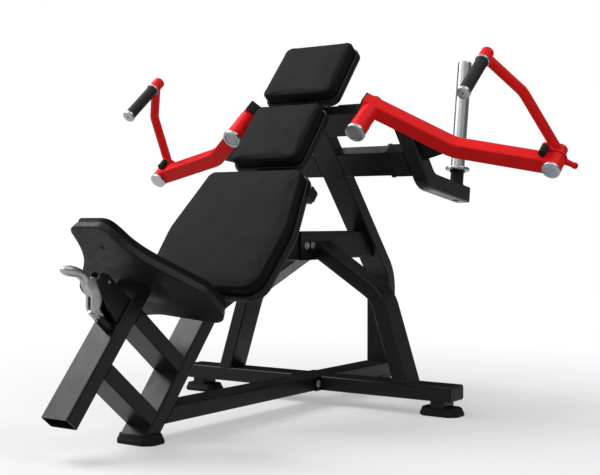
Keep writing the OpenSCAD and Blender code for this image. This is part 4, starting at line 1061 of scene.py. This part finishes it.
class MACHINE_OT_stage(MachineOperator):
    """Camera, floor and studio light"""
    bl_idname = "machine.stage"
    bl_label = "Stage"

    camera_at = (2.229, -3.815, 0.640)
    heading = 34.39
    tilt = 0.82
    lens = 68.04
    floor_radius = 14
    card_radius = 4.8
    card_steps = 20
    # Reflection cards: name, headings in degrees, heights, grey
    cards = (("Right", (-42, 70), (0.02, 4.2), "#7c7c7c"), ("Low", (70, 92), (0.02, 1.7), "#b4b4b4"),
             ("Middle", (70, 92), (1.7, 4.2), "#2c2c2c"), ("Rear", (92, 168), (0.02, 4.2), "#1c1c1c"))
    # Lamps: name, place, width, power
    lamps = (("Key", (-3.66, -1.08, 5.22), 4.2, 350), ("Top", (0, -2.5, 4.35), 2.5, 22),
             ("Right", (3.4, 0.6, 4.4), 2.4, 50), ("Front", (2.5, -4.25, 1.35), 2, 38))
    aim = (0, 0, 0.6)
    world_light = 0.14

    def execute(self, context):
        scene = context.scene
        camera = bpy.data.cameras.new("Camera")
        camera.lens, camera.sensor_width = self.lens, 36
        camera.clip_end = 60
        eye = bpy.data.objects.new("Camera", camera)
        eye.location = Vector(self.camera_at) + Vector((0, REAR_FOOT.y, 0))
        turn, drop = math.radians(self.heading), math.radians(self.tilt)
        look = Vector((-math.sin(turn) * math.cos(drop), math.cos(turn) * math.cos(drop), -math.sin(drop)))
        eye.rotation_mode = "QUATERNION"
        eye.rotation_quaternion = look.to_track_quat("-Z", "Y")
        scene.collection.objects.link(eye)
        scene.camera = eye
        scene.view_settings.view_transform = "Standard"
        bm = bmesh.new()
        bmesh.ops.create_circle(bm, cap_ends=True, segments=96, radius=self.floor_radius)
        mesh = bpy.data.meshes.new("Floor")
        bm.to_mesh(mesh)
        bm.free()
        mesh.materials.append(studio_floor("Studio floor, matt white", scene.machine_colours.floor))
        floor = bpy.data.objects.new("Floor", mesh)
        scene.collection.objects.link(floor)
        for card in self.cards:
            self.flag(scene, *card)
        studio_world(scene, self.world_light)
        for name, at, width, power in self.lamps:
            lamp = soft_box(name, at, self.aim, width, power)
            # The front lamp only fills, and shows in no reflection
            lamp.visible_glossy = name != "Front"
        return {"FINISHED"}

    def flag(self, scene, name, headings, heights, code):
        """Curved grey card round a part of the stage, between two headings in degrees."""
        bm = bmesh.new()
        reach, steps = self.card_radius, self.card_steps
        first, last = headings
        angles = [math.radians(first + (last - first) * k / steps) for k in range(steps + 1)]
        rows = [[bm.verts.new((reach * math.cos(a), reach * math.sin(a), z)) for a in angles]
                for z in heights]
        for k in range(steps):
            bm.faces.new((rows[0][k], rows[0][k + 1], rows[1][k + 1], rows[1][k]))
        mesh = bpy.data.meshes.new(name + "_card")
        bm.to_mesh(mesh)
        bm.free()
        mesh.materials.append(dark_card("Studio card, " + name.lower(), code))
        card = bpy.data.objects.new(name + "_card", mesh)
        card.visible_camera = card.visible_diffuse = card.visible_shadow = False
        scene.collection.objects.link(card)


OPERATORS = (MACHINE_OT_stage, MACHINE_OT_solids, MACHINE_OT_pads, MACHINE_OT_pad_backs, MACHINE_OT_feet,
             MACHINE_OT_end_caps, MACHINE_OT_bolts, MACHINE_OT_arm_caps, MACHINE_OT_horns, MACHINE_OT_grips,
             MACHINE_OT_lever)


class MACHINE_PT_panel(bpy.types.Panel):
    """Makers of the machine's pieces"""
    bl_label = "Chest machine"
    bl_space_type = "VIEW_3D"
    bl_region_type = "UI"
    bl_category = "Machine"

    def draw(self, context):
        for maker in OPERATORS:
            self.layout.operator(maker.bl_idname)


CLASSES = (MachineSizes, MachineColours, *OPERATORS, MACHINE_PT_panel)


def register():
    for each in CLASSES:
        bpy.utils.register_class(each)
    bpy.types.Scene.machine_sizes = PointerProperty(type=MachineSizes)
    bpy.types.Scene.machine_colours = PointerProperty(type=MachineColours)


def unregister():
    del bpy.types.Scene.machine_colours
    del bpy.types.Scene.machine_sizes
    for each in reversed(CLASSES):
        bpy.utils.unregister_class(each)


def main():
    register()
    for maker in OPERATORS:
        group, name = maker.bl_idname.split(".")
        getattr(getattr(bpy.ops, group), name)()


if __name__ == "__main__":
    main()
